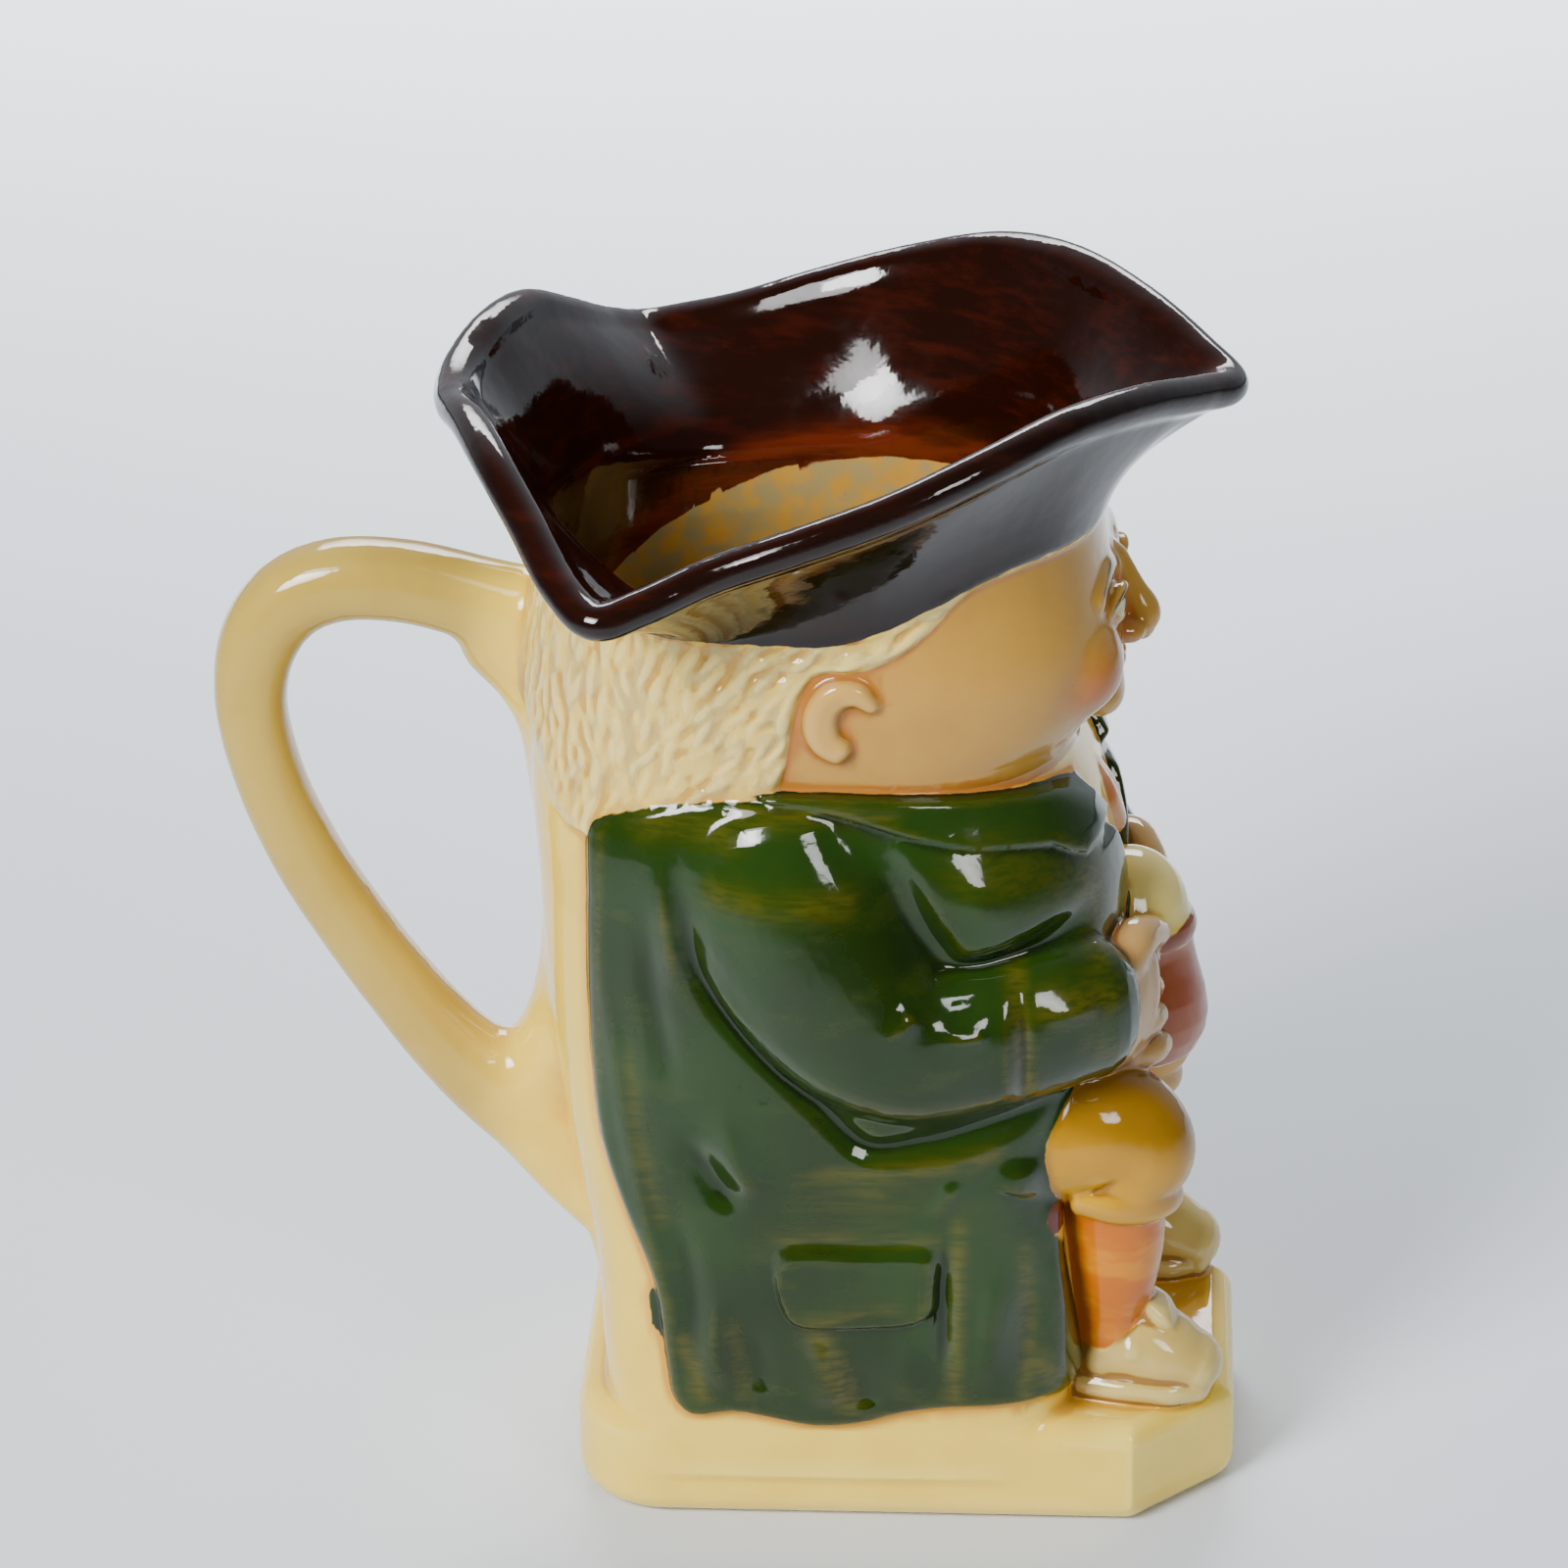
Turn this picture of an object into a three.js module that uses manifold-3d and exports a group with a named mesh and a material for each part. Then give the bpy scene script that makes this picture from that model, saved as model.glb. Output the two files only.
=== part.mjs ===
// Toby jug: a seated figure in glazed earthenware, slip cast as one hollow piece.
// Millimetres, +Z up. The figure faces -Y and the handle is at +Y. The origin is
// the centre of the flat underside.
import * as THREE from 'three';
import { ParametricGeometry } from 'three/addons/geometries/ParametricGeometry.js';
import { mergeVertices } from 'three/addons/utils/BufferGeometryUtils.js';
import Module from 'manifold-3d';

// ---- driving dimensions -------------------------------------------------------------
const WALL = 4.5;
const FLOOR = 7;
const FLOOR_CORNER = 4;
const LIP_RADIUS = 2.7;
const COAT_RISE = 2.2;
const COLLAR_RISE = 3.6;
const HAT_RISE = 1.6;
const HAIR_RISE = 0.6;
const POCKET_RISE = 1.2;
const BASE = { halfWidth: 39.5, halfDepth: 58.4, corner: 16, height: 20, edge: 4 };
const HAT_LINE = { side: 171.5, frontRise: 12, flare: 1.45 };
const HANDLE = { halfWidth: 7.3 };
const TANKARD = { centreY: -40, bottom: 75.5, belly: 83.5, neck: 97, rim: 101, foamTop: 107 };
const FOAM = { back: -33.5, height: 107.5, halfWidth: 12 };
const FINGER = { top: 101.6, pitch: 5.5, lead: 0.8, radius: 2.9 };
const COAT = { bottom: 20, top: 143, spacing: 15.4, sides: 44 };
const COLLAR = { bottom: 123, top: 143.4 };
const POCKET = { bottom: 40, top: 58 };
const HAIR = { bottom: 131, top: 185, swell: 0.5, pitch: 0.7, lean: 0.35 };
const LEG_X = 23;
const COLUMNS = 44;
const BARREL_SIDES = 32;
const BAND_SIDES = 36;
const HAIR_SIDES = 44;
const BEYOND = 70;
const ABOVE_ALL = 240;

// The barrel of the figure, from the seat up to the hat line: at each height the half
// width, the front and back faces, and how square the rounded outline is.
const BODY = [
  { z: 16, half: 40, front: -29.5, back: 53, square: 6 },
  { z: 30, half: 40.5, front: -30.5, back: 54, square: 6 },
  { z: 48, half: 41, front: -29, back: 55, square: 5.5 },
  { z: 62, half: 41.5, front: -28, back: 58, square: 4.5 },
  { z: 80, half: 43, front: -31, back: 62, square: 3.4 },
  { z: 98, half: 44, front: -35, back: 64, square: 3 },
  { z: 116, half: 44.5, front: -36, back: 65, square: 2.8 },
  { z: 130, half: 43.5, front: -33, back: 66, square: 2.7 },
  { z: 141, half: 40.5, front: -29, back: 66, square: 2.6 },
  { z: 150, half: 41.5, front: -34.5, back: 66, square: 2.5 },
  { z: 160, half: 42.5, front: -36.5, back: 65, square: 2.5 },
  { z: 172, half: 42, front: -34.5, back: 63, square: 2.5 },
  { z: 186, half: 41.5, front: -32, back: 62, square: 2.5 },
];

// The middle of the hat's rolled lip, from the front point round the +X side to the
// back: high over the side, low at the pinched back corner, high again behind.
const RIM = [
  [0, -54, 202.5], [9, -49, 204.5], [22, -39.5, 208], [38, -26.5, 209.8], [50, -14, 207.5],
  [57.5, 2, 202], [60, 18, 196.5], [61, 32, 191.5], [65, 43, 187.5], [66.5, 50, 185.6],
  [60, 56, 188.5], [48, 62.5, 195], [36, 69, 201], [22, 74, 202.8], [10, 77, 200.5],
];
const RIM_BACK = [0, 78, 198.8];

// Side outlines as [y, z].
const COAT_SIDE = [
  [53.4, 134.5], [54.6, 105], [52.6, 75], [48, 61], [43.5, 49], [40.5, 27], [37, 22.5], [16, 21],
  [-5, 24.6], [-22, 25.4], [-32, 26.5], [-29, 45], [-27.5, 56], [-29, 68], [-34, 79], [-60, 88],
  [-60, 118], [-34, 126], [-28, 136], [-13, 140.5], [0, 142.2], [24, 142], [37, 141],
];
const COLLAR_SIDE = [
  [26, 143], [10, 139.6], [-12, 133.4], [-31, 127], [-34.5, 130], [-28, 137.2], [-12, 141.2],
  [12, 143.2],
];
const HAIR_SIDE = [
  [58, 132], [24, 140], [20, 150], [18.5, 158], [15.5, 165.6], [6, 167], [-2, 171.6], [-12, 184],
  [80, 184], [80, 160], [66, 145],
];
const POCKET_SIDE = [[-5.8, 57], [-6, 47], [-2, 42.8], [9, 41.6], [18.6, 42], [21.6, 57]];
const COAT_OPENING = [
  [0, 96], [9, 116], [16, 134], [14, 150], [-14, 150], [-16, 134], [-9, 116],
];

// ---- solids -------------------------------------------------------------------------
const wasm = await Module();
wasm.setup();

function signedVolume(positions, triangles) {
  const [a, b, c] = [new THREE.Vector3(), new THREE.Vector3(), new THREE.Vector3()];
  let volume = 0;
  for (let i = 0; i < triangles.length; i += 3) {
    a.fromArray(positions, 3 * triangles[i]);
    b.fromArray(positions, 3 * triangles[i + 1]);
    c.fromArray(positions, 3 * triangles[i + 2]);
    volume += a.dot(b.cross(c)) / 6;
  }
  return volume;
}

// A closed geometry as a solid with its faces pointing out.
function solid(geometry) {
  for (const name of ['normal', 'uv']) geometry.deleteAttribute(name);
  const merged = mergeVertices(geometry, 1e-4);
  const positions = merged.attributes.position.array;
  const index = merged.index.array;
  const triangles = [];
  for (let i = 0; i < index.length; i += 3) {
    const [a, b, c] = [index[i], index[i + 1], index[i + 2]];
    if (a !== b && b !== c && c !== a) triangles.push(a, b, c);
  }
  if (signedVolume(positions, triangles) < 0) triangles.reverse();
  return new wasm.Manifold(new wasm.Mesh({
    numProp: 3,
    vertProperties: new Float32Array(positions),
    triVerts: new Uint32Array(triangles),
  }));
}

function union(solids) {
  return solids.reduce((whole, next) => whole.add(next));
}

// A closed solid through rings of points, each end closed to the middle of its ring.
function ringSolid(rings, sides, pointAt) {
  const middle = (ring) => {
    const sum = new THREE.Vector3();
    for (let side = 0; side < sides; side += 1) sum.add(pointAt(ring, side / sides));
    return sum.divideScalar(sides);
  };
  const surface = (u, v, target) => {
    const row = Math.round(v * (rings + 1));
    if (row === 0) target.copy(middle(0));
    else if (row === rings + 1) target.copy(middle(rings - 1));
    else target.copy(pointAt(row - 1, u === 1 ? 0 : u));
  };
  return solid(new ParametricGeometry(surface, sides, rings + 1));
}

// A limb: an oval section swept through stations { at, wide, thin }, with rounded ends.
// The thin way lies nearest to the facing direction. A side of -1 mirrors it.
function limb(stations, { facing = [1, 0, 0], sides = 12, steps = 10, side = 1 } = {}) {
  const place = ([x, y, z]) => new THREE.Vector3(side * x, y, z);
  const path = new THREE.CatmullRomCurve3(stations.map((station) => place(station.at)));
  const widths = new THREE.SplineCurve(
    stations.map((station) => new THREE.Vector2(station.wide, station.thin)));
  const capTurns = [0.5, 1.05];
  const rings = [];
  for (const turn of capTurns) rings.push({ t: 0, push: -Math.cos(turn), scale: Math.sin(turn) });
  for (let step = 0; step <= steps; step += 1) rings.push({ t: step / steps, push: 0, scale: 1 });
  for (const turn of [...capTurns].reverse()) {
    rings.push({ t: 1, push: Math.cos(turn), scale: Math.sin(turn) });
  }
  return ringSolid(rings.length, sides, (index, turn) => {
    const { t, push, scale } = rings[index];
    const tangent = path.getTangent(t);
    const thinWay = place(facing);
    thinWay.addScaledVector(tangent, -thinWay.dot(tangent)).normalize();
    const wideWay = new THREE.Vector3().crossVectors(tangent, thinWay);
    const size = widths.getPoint(t);
    const angle = 2 * Math.PI * turn;
    return path.getPoint(t)
      .addScaledVector(tangent, push * Math.min(size.x, size.y))
      .addScaledVector(wideWay, scale * size.x * Math.cos(angle))
      .addScaledVector(thinWay, scale * size.y * Math.sin(angle));
  });
}

// An outline on the Y-Z plane carried along X, and one on the X-Z plane along Y.
function prism(outline, from, to, axis) {
  const shape = new THREE.Shape(outline.map(([a, b]) => new THREE.Vector2(a, b)));
  const geometry = new THREE.ExtrudeGeometry(shape, { depth: to - from, bevelEnabled: false });
  geometry.translate(0, 0, from);
  const up = new THREE.Vector3(0, 0, 1);
  const across = axis === 'x' ? new THREE.Vector3(0, 1, 0) : new THREE.Vector3(1, 0, 0);
  const along = axis === 'x' ? new THREE.Vector3(1, 0, 0) : new THREE.Vector3(0, 1, 0);
  geometry.applyMatrix4(new THREE.Matrix4().makeBasis(across, up, along));
  return solid(geometry);
}

// ---- the barrel and the hat ------------------------------------------------------------
function bodyAt(z) {
  const last = BODY.length - 2;
  const found = BODY.findIndex((row, index) => index > last || z <= BODY[index + 1].z);
  const lower = Math.min(found, last);
  const [a, b] = [BODY[lower], BODY[lower + 1]];
  const before = BODY[Math.max(lower - 1, 0)];
  const after = BODY[Math.min(lower + 2, BODY.length - 1)];
  const span = b.z - a.z;
  const t = THREE.MathUtils.clamp((z - a.z) / span, 0, 1);
  const ease = (key) => {
    const slopeA = (span * (b[key] - before[key])) / (b.z - before.z);
    const slopeB = (span * (after[key] - a[key])) / (after.z - a.z);
    return a[key] * (1 + 2 * t) * (1 - t) ** 2 + slopeA * t * (1 - t) ** 2
      + b[key] * t * t * (3 - 2 * t) + slopeB * t * t * (t - 1);
  };
  const row = { half: ease('half'), front: ease('front'), back: ease('back') };
  return { ...row, square: ease('square'), centre: (row.front + row.back) / 2 };
}

// A point on the barrel in a direction round its own centre, grown outwards.
function bodyPoint(direction, z, grow = 0) {
  const { half, front, back, square, centre } = bodyAt(z);
  const [halfX, halfY] = [half + grow, (back - front) / 2 + grow];
  const [c, s] = [Math.cos(direction), Math.sin(direction)];
  const reach = (Math.abs(c / halfX) ** square + Math.abs(s / halfY) ** square) ** (-1 / square);
  return new THREE.Vector3(reach * c, centre + reach * s, z);
}

const rimHalf = RIM.map(([x, y, z]) => new THREE.Vector3(x, y, z));
const rimOther = RIM.slice(1).reverse().map(([x, y, z]) => new THREE.Vector3(-x, y, z));
const rim = new THREE.CatmullRomCurve3(
  [...rimHalf, new THREE.Vector3(...RIM_BACK), ...rimOther], true, 'centripetal');
const hatCentre = bodyAt(HAT_LINE.side).centre;

// The direction of a rim turn, seen from the middle of the head.
function directionOf(turn) {
  const { x, y } = rim.getPoint(turn);
  return Math.atan2(y - hatCentre, x);
}

function hatLineHeight(direction) {
  const forward = THREE.MathUtils.smoothstep(-Math.sin(direction), 0, 0.8);
  return HAT_LINE.side + HAT_LINE.frontRise * forward;
}

// The hat's wall: rise 0 at the hat line, 1 at the rim; it leaves the head upright and
// flares more and more towards the rim.
function hatPoint(turn, rise) {
  const direction = directionOf(turn);
  const foot = bodyPoint(direction, hatLineHeight(direction), HAT_RISE - WALL / 2);
  const top = rim.getPoint(turn);
  const flare = rise ** HAT_LINE.flare;
  return new THREE.Vector3(
    THREE.MathUtils.lerp(foot.x, top.x, flare),
    THREE.MathUtils.lerp(foot.y, top.y, flare),
    THREE.MathUtils.lerp(foot.z, top.z, rise));
}

// The same wall moved along its own normal, outwards for a positive shift.
function hatSkin(turn, rise, shift) {
  const step = 0.004;
  const along = hatPoint((turn + step) % 1, rise).sub(hatPoint((turn + 1 - step) % 1, rise));
  const upward = hatPoint(turn, rise + step).sub(hatPoint(turn, Math.max(rise - step, 0)));
  const normal = new THREE.Vector3().crossVectors(along, upward).normalize();
  return hatPoint(turn, rise).addScaledVector(normal, shift);
}

function barrel() {
  const heights = BODY.map((row) => row.z);
  return ringSolid(heights.length, BARREL_SIDES, (ring, turn) => (
    bodyPoint(2 * Math.PI * turn, heights[ring])));
}

// A point on the rolled lip: angle 0 faces out and a quarter turn faces up.
function lipPoint(turn, degrees) {
  const along = rim.getTangent(turn);
  const out = new THREE.Vector3(along.y, -along.x, 0).normalize();
  const up = new THREE.Vector3().crossVectors(out, along);
  const angle = THREE.MathUtils.degToRad(degrees);
  return rim.getPoint(turn)
    .addScaledVector(out, LIP_RADIUS * Math.cos(angle))
    .addScaledVector(up, LIP_RADIUS * Math.sin(angle));
}

function hat() {
  const rises = [0, 0.3, 0.55, 0.82];
  const lipAngles = [-50, 5, 55, 95];
  return ringSolid(1 + rises.length + lipAngles.length, COLUMNS, (ring, turn) => {
    if (ring === 0) return hatSkin(turn, 0, -WALL / 3);
    if (ring <= rises.length) return hatSkin(turn, rises[ring - 1], WALL / 2);
    return lipPoint(turn, lipAngles[ring - 1 - rises.length]);
  });
}

// The hollow inside, open through the hat.
function cavity() {
  const heights = [FLOOR, FLOOR + FLOOR_CORNER, 48, 80, 116, 141, 155];
  const rises = [0.12, 0.45, 0.8];
  const lipAngles = [-125, 175, 120];
  const rings = [];
  for (const z of heights) {
    const corner = z === FLOOR ? FLOOR_CORNER : 0;
    rings.push((turn) => bodyPoint(directionOf(turn), z, -WALL - corner));
  }
  for (const rise of rises) rings.push((turn) => hatSkin(turn, rise, -WALL / 2));
  for (const angle of lipAngles) rings.push((turn) => lipPoint(turn, angle));
  rings.push((turn) => lipPoint(turn, lipAngles.at(-1)).setZ(ABOVE_ALL));
  return ringSolid(rings.length, COLUMNS, (ring, turn) => rings[ring](turn));
}

// ---- what the figure wears ---------------------------------------------------------------
// A layer that wraps the barrel between two heights and stands proud of it.
function layer(from, to, spacing, sides, riseAt) {
  const rings = Math.max(2, Math.round((to - from) / spacing) + 1);
  return ringSolid(rings, sides, (ring, turn) => {
    const z = from + ((to - from) * ring) / (rings - 1);
    const direction = 2 * Math.PI * turn;
    return bodyPoint(direction, z, riseAt(bodyPoint(direction, z), z));
  });
}

// Folds of the coat's side: lines [y, z] to [y, z] that swell or sink the cloth.
const FOLDS = [
  { from: [45, 128], to: [42, 90], width: 5, rise: 1.3 },
  { from: [37, 100], to: [30, 66], width: 5, rise: -1.8 },
  { from: [46, 84], to: [32, 50], width: 5, rise: 1.4 },
  { from: [34, 52], to: [32, 26], width: 4, rise: 1.6 },
  { from: [25, 58], to: [24, 26], width: 4, rise: -1.2 },
  { from: [-11, 76], to: [-12, 28], width: 4, rise: -1.4 },
  { from: [-20, 76], to: [-19, 34], width: 5, rise: 1.5 },
];

function foldRise({ y }, z) {
  let rise = COAT_RISE;
  for (const fold of FOLDS) {
    const [from, to] = [new THREE.Vector3(...fold.from, 0), new THREE.Vector3(...fold.to, 0)];
    const here = new THREE.Vector3(y, z, 0);
    const nearest = new THREE.Line3(from, to).closestPointToPoint(here, true, new THREE.Vector3());
    rise += fold.rise * Math.exp(-((here.distanceTo(nearest) / fold.width) ** 2));
  }
  return rise;
}

// A prism of a side outline, right through the figure.
function fromTheSide(outline) {
  return prism(outline, -BEYOND, BEYOND, 'x');
}

// The gap between the lapels, cut from the front only.
function frontOpening() {
  return prism(COAT_OPENING, -BEYOND, 0, 'y');
}

function coat() {
  const cloth = layer(COAT.bottom, COAT.top, COAT.spacing, COAT.sides, foldRise);
  return cloth.intersect(fromTheSide(COAT_SIDE)).subtract(frontOpening());
}

function collar() {
  const band = layer(COLLAR.bottom, COLLAR.top, 7, BAND_SIDES, () => COLLAR_RISE);
  return band.intersect(fromTheSide(COLLAR_SIDE)).subtract(frontOpening());
}

function pocketFlap() {
  const cloth = layer(POCKET.bottom, POCKET.top, 6, BAND_SIDES, () => COAT_RISE + POCKET_RISE);
  return cloth.intersect(fromTheSide(POCKET_SIDE));
}

// Hair: combed locks that run down and back from above the ear.
function hair() {
  const { bottom, top, swell, pitch, lean } = HAIR;
  const locks = ({ y }, z) => HAIR_RISE + swell * Math.sin(pitch * (y - lean * z));
  return layer(bottom, top, 11, HAIR_SIDES, locks).intersect(fromTheSide(HAIR_SIDE));
}

// The ear: a thick C, open to the front.
function ear(side) {
  return limb([
    { at: [42.8, 4.6, 161.6], wide: 1.8, thin: 1.9 },
    { at: [42.8, 10.4, 162.9], wide: 2.8, thin: 2.5 },
    { at: [42.5, 14.4, 157.4], wide: 3.1, thin: 2.6 },
    { at: [42.6, 11.2, 151.6], wide: 2.7, thin: 2.3 },
  ], { sides: 6, steps: 6, side });
}

// ---- face ------------------------------------------------------------------------------
function face() {
  const forward = { facing: [0, 1, 0], sides: 6, steps: 3 };
  return union([
    limb([
      { at: [0, -35.5, 168], wide: 2.4, thin: 2.2 },
      { at: [0, -38.5, 162], wide: 2.8, thin: 2.6 },
      { at: [0, -39.6, 157.5], wide: 4.4, thin: 2.9 },
    ], { ...forward, sides: 7 }),
    limb([
      { at: [-17, -31.8, 168.5], wide: 1.6, thin: 1.8 },
      { at: [0, -36, 170], wide: 1.8, thin: 1.6 },
      { at: [17, -31.8, 168.5], wide: 1.6, thin: 1.8 },
    ], { ...forward, steps: 5 }),
    limb([
      { at: [-7, -34.4, 150.4], wide: 1.4, thin: 1.2 },
      { at: [0, -36.4, 150.4], wide: 2.6, thin: 1.8 },
      { at: [7, -34.4, 150.4], wide: 1.4, thin: 1.2 },
    ], forward),
    limb([
      { at: [-5, -31.5, 144.5], wide: 4, thin: 4.5 },
      { at: [5, -31.5, 144.5], wide: 4, thin: 4.5 },
    ], { ...forward, steps: 1 }),
  ]);
}

// ---- limbs, tankard and shoes ------------------------------------------------------------
function sleeve(side) {
  return limb([
    { at: [37, 22.6, 133.6], wide: 15.6, thin: 8.4 },
    { at: [38.4, 20, 124], wide: 18.2, thin: 9.8 },
    { at: [39.5, 16, 113], wide: 18.6, thin: 11 },
    { at: [40, 9.5, 103.4], wide: 16.8, thin: 11.8 },
    { at: [39.4, 0, 97.4], wide: 15.8, thin: 11.8 },
    { at: [37.6, -12, 97.2], wide: 14.4, thin: 11.4 },
    { at: [34.6, -23, 98.6], wide: 13.8, thin: 10.6 },
    { at: [31, -31, 99], wide: 13.2, thin: 9.6 },
  ], { sides: 10, steps: 8, side });
}

// The hand: its back, four fingers stacked on the tankard's side, and the thumb above.
function hand(side) {
  const parts = [limb([
    { at: [29, -30, 97], wide: 12.6, thin: 7.2 },
    { at: [20, -38.6, 94.6], wide: 11.6, thin: 5.2 },
  ], { facing: [0.7, -1, 0], sides: 8, steps: 1, side })];
  const { top, pitch, lead, radius } = FINGER;
  for (let finger = 0; finger < 4; finger += 1) {
    const [z, reach] = [top - pitch * finger, lead * finger];
    parts.push(limb([
      { at: [23, -36.5, z], wide: radius, thin: radius },
      { at: [15.8, -41.2 - reach, z - 0.6], wide: radius, thin: radius },
    ], { sides: 5, steps: 1, side }));
  }
  parts.push(limb([
    { at: [26, -34.6, 102.6], wide: 5, thin: 5 },
    { at: [21, -38.6, 106.2], wide: 4.4, thin: 4.4 },
    { at: [13, -42.6, 104.6], wide: 2.9, thin: 2.9 },
  ], { sides: 6, steps: 3, side }));
  return union(parts);
}

// The tankard with the foam that rises from its rim to the chest.
function tankard() {
  const { centreY, bottom, belly, neck, rim: rimZ, foamTop } = TANKARD;
  const outline = [
    [0, bottom], [8.6, bottom], [12.2, belly - 3], [12.6, belly], [10.6, neck - 4], [9.6, neck],
    [10.3, rimZ - 1], [9.4, rimZ + 1], [6, foamTop], [0, foamTop],
  ];
  const cup = new THREE.LatheGeometry(outline.map(([r, z]) => new THREE.Vector2(r, z)), 14);
  cup.rotateX(Math.PI / 2);
  cup.translate(0, centreY, 0);
  const end = FOAM.halfWidth / 2;
  const foam = limb([
    { at: [-end, FOAM.back, FOAM.height], wide: end, thin: 8 },
    { at: [end, FOAM.back, FOAM.height], wide: end, thin: 8 },
  ], { facing: [0, 1, 0], sides: 8, steps: 1 });
  return solid(cup).add(foam);
}

function leg(side) {
  const breeches = limb([
    { at: [LEG_X, -12, 70], wide: 13, thin: 15 },
    { at: [LEG_X, -31, 71.5], wide: 13.5, thin: 13 },
    { at: [LEG_X, -38.5, 67], wide: 12.5, thin: 11 },
    { at: [LEG_X, -37.5, 61], wide: 9.5, thin: 10 },
  ], { sides: 10, steps: 5, side });
  const stocking = limb([
    { at: [LEG_X, -36, 60], wide: 8.8, thin: 8.8 },
    { at: [LEG_X, -36, 50], wide: 8.8, thin: 8.8 },
    { at: [LEG_X, -36, 36], wide: 6, thin: 6.2 },
    { at: [LEG_X, -36, 26], wide: 5.8, thin: 6 },
  ], { sides: 8, steps: 3, side });
  return breeches.add(stocking);
}

function shoe(side) {
  const upper = limb([
    { at: [LEG_X, -35.5, 26], wide: 7, thin: 7 },
    { at: [LEG_X, -41, 28], wide: 9, thin: 7.6 },
    { at: [LEG_X, -46, 26], wide: 7.5, thin: 8 },
    { at: [LEG_X, -51.5, 24], wide: 4.8, thin: 7 },
  ], { sides: 8, steps: 4, side });
  const soleTop = BASE.height - 1;
  const below = prism(
    [[-BEYOND, 0], [BEYOND, 0], [BEYOND, soleTop], [-BEYOND, soleTop]], -BEYOND, 0, 'y');
  return upper.subtract(below);
}

// ---- base and handle -----------------------------------------------------------------------
// A block with chamfered front corners, round back corners and soft edges.
function base() {
  const { halfWidth, halfDepth, corner, height, edge } = BASE;
  const [x, y, round] = [halfWidth - edge, halfDepth - edge, corner - edge];
  const shape = new THREE.Shape();
  shape.moveTo(x, round + edge / 2 - y);
  shape.lineTo(x, y - round);
  shape.absarc(x - round, y - round, round, 0, Math.PI / 2, false);
  shape.absarc(round - x, y - round, round, Math.PI / 2, Math.PI, false);
  shape.lineTo(-x, round + edge / 2 - y);
  shape.lineTo(round + edge / 2 - x, -y);
  shape.lineTo(x - round - edge / 2, -y);
  const geometry = new THREE.ExtrudeGeometry(shape, {
    depth: height - 2 * edge,
    bevelThickness: edge,
    bevelSize: edge,
    bevelSegments: 3,
    curveSegments: 4,
  });
  geometry.translate(0, 0, edge);
  return solid(geometry);
}

// The handle, with a web that thickens the back above and below the finger space.
function handle() {
  const centreLine = [
    [58, 154, 9], [72, 159.5, 7.4], [88, 163.6, 7], [102, 163, 7.2], [112.5, 155, 7.1],
    [115.4, 141, 6.3], [112, 124, 6], [99, 98, 6.2], [86, 79, 6.6], [76, 68.5, 8],
    [66, 61, 10], [58, 52, 10], [50, 41, 8],
  ];
  const grip = limb(centreLine.map(([y, z, wide]) => (
    { at: [0, y, z], wide, thin: HANDLE.halfWidth })), { sides: 8, steps: 16 });
  const upperWeb = limb([
    { at: [0, 72, 152], wide: 6, thin: 6.6 },
    { at: [0, 66, 145], wide: 6, thin: 7 },
    { at: [0, 61, 136], wide: 6.2, thin: 8 },
    { at: [0, 57.4, 117], wide: 6.2, thin: 8.6 },
  ], { sides: 8, steps: 3 });
  const lowerWeb = limb([
    { at: [0, 57.4, 100], wide: 6.4, thin: 8.6 },
    { at: [0, 60, 84], wide: 6.8, thin: 8.3 },
    { at: [0, 65, 72], wide: 7, thin: 8 },
  ], { sides: 8, steps: 2 });
  return union([grip, upperWeb, lowerWeb]);
}

// ---- the whole jug ---------------------------------------------------------------------------
function jug() {
  const pieces = [
    barrel(), hat(), coat(), collar(), pocketFlap(), hair(), base(), face(), tankard(), handle(),
  ];
  for (const side of [-1, 1]) {
    pieces.push(ear(side), sleeve(side), hand(side), leg(side), shoe(side));
  }
  return union(pieces).subtract(cavity());
}

function geometryOf(manifold) {
  const { vertProperties, triVerts } = manifold.getMesh();
  const geometry = new THREE.BufferGeometry();
  geometry.setAttribute('position', new THREE.BufferAttribute(vertProperties, 3));
  geometry.setIndex(new THREE.BufferAttribute(triVerts, 1));
  geometry.computeVertexNormals();
  return geometry;
}

const glaze = new THREE.MeshStandardMaterial({ color: 0xe9d9a6, roughness: 0.15, metalness: 0 });
const tobyJug = new THREE.Mesh(geometryOf(jug()), glaze);
tobyJug.name = 'toby_jug';

const part = new THREE.Group();
part.add(tobyJug);
export default part;
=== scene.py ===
"""Looks of the toby jug: one slip-cast, hand-painted and glazed piece.

The jug is shaped as a signed distance field on a fine grid, in millimetres, so that
forms melt into each other as they do under thick glaze. Only the side x <= 0 is built,
and it is mirrored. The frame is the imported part's: +Z up, the figure faces -Y, the
handle is at +Y and the origin is the centre of the underside.
"""

import math

import bpy
import numpy as np
import openvdb
from mathutils import Matrix, Vector


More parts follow.
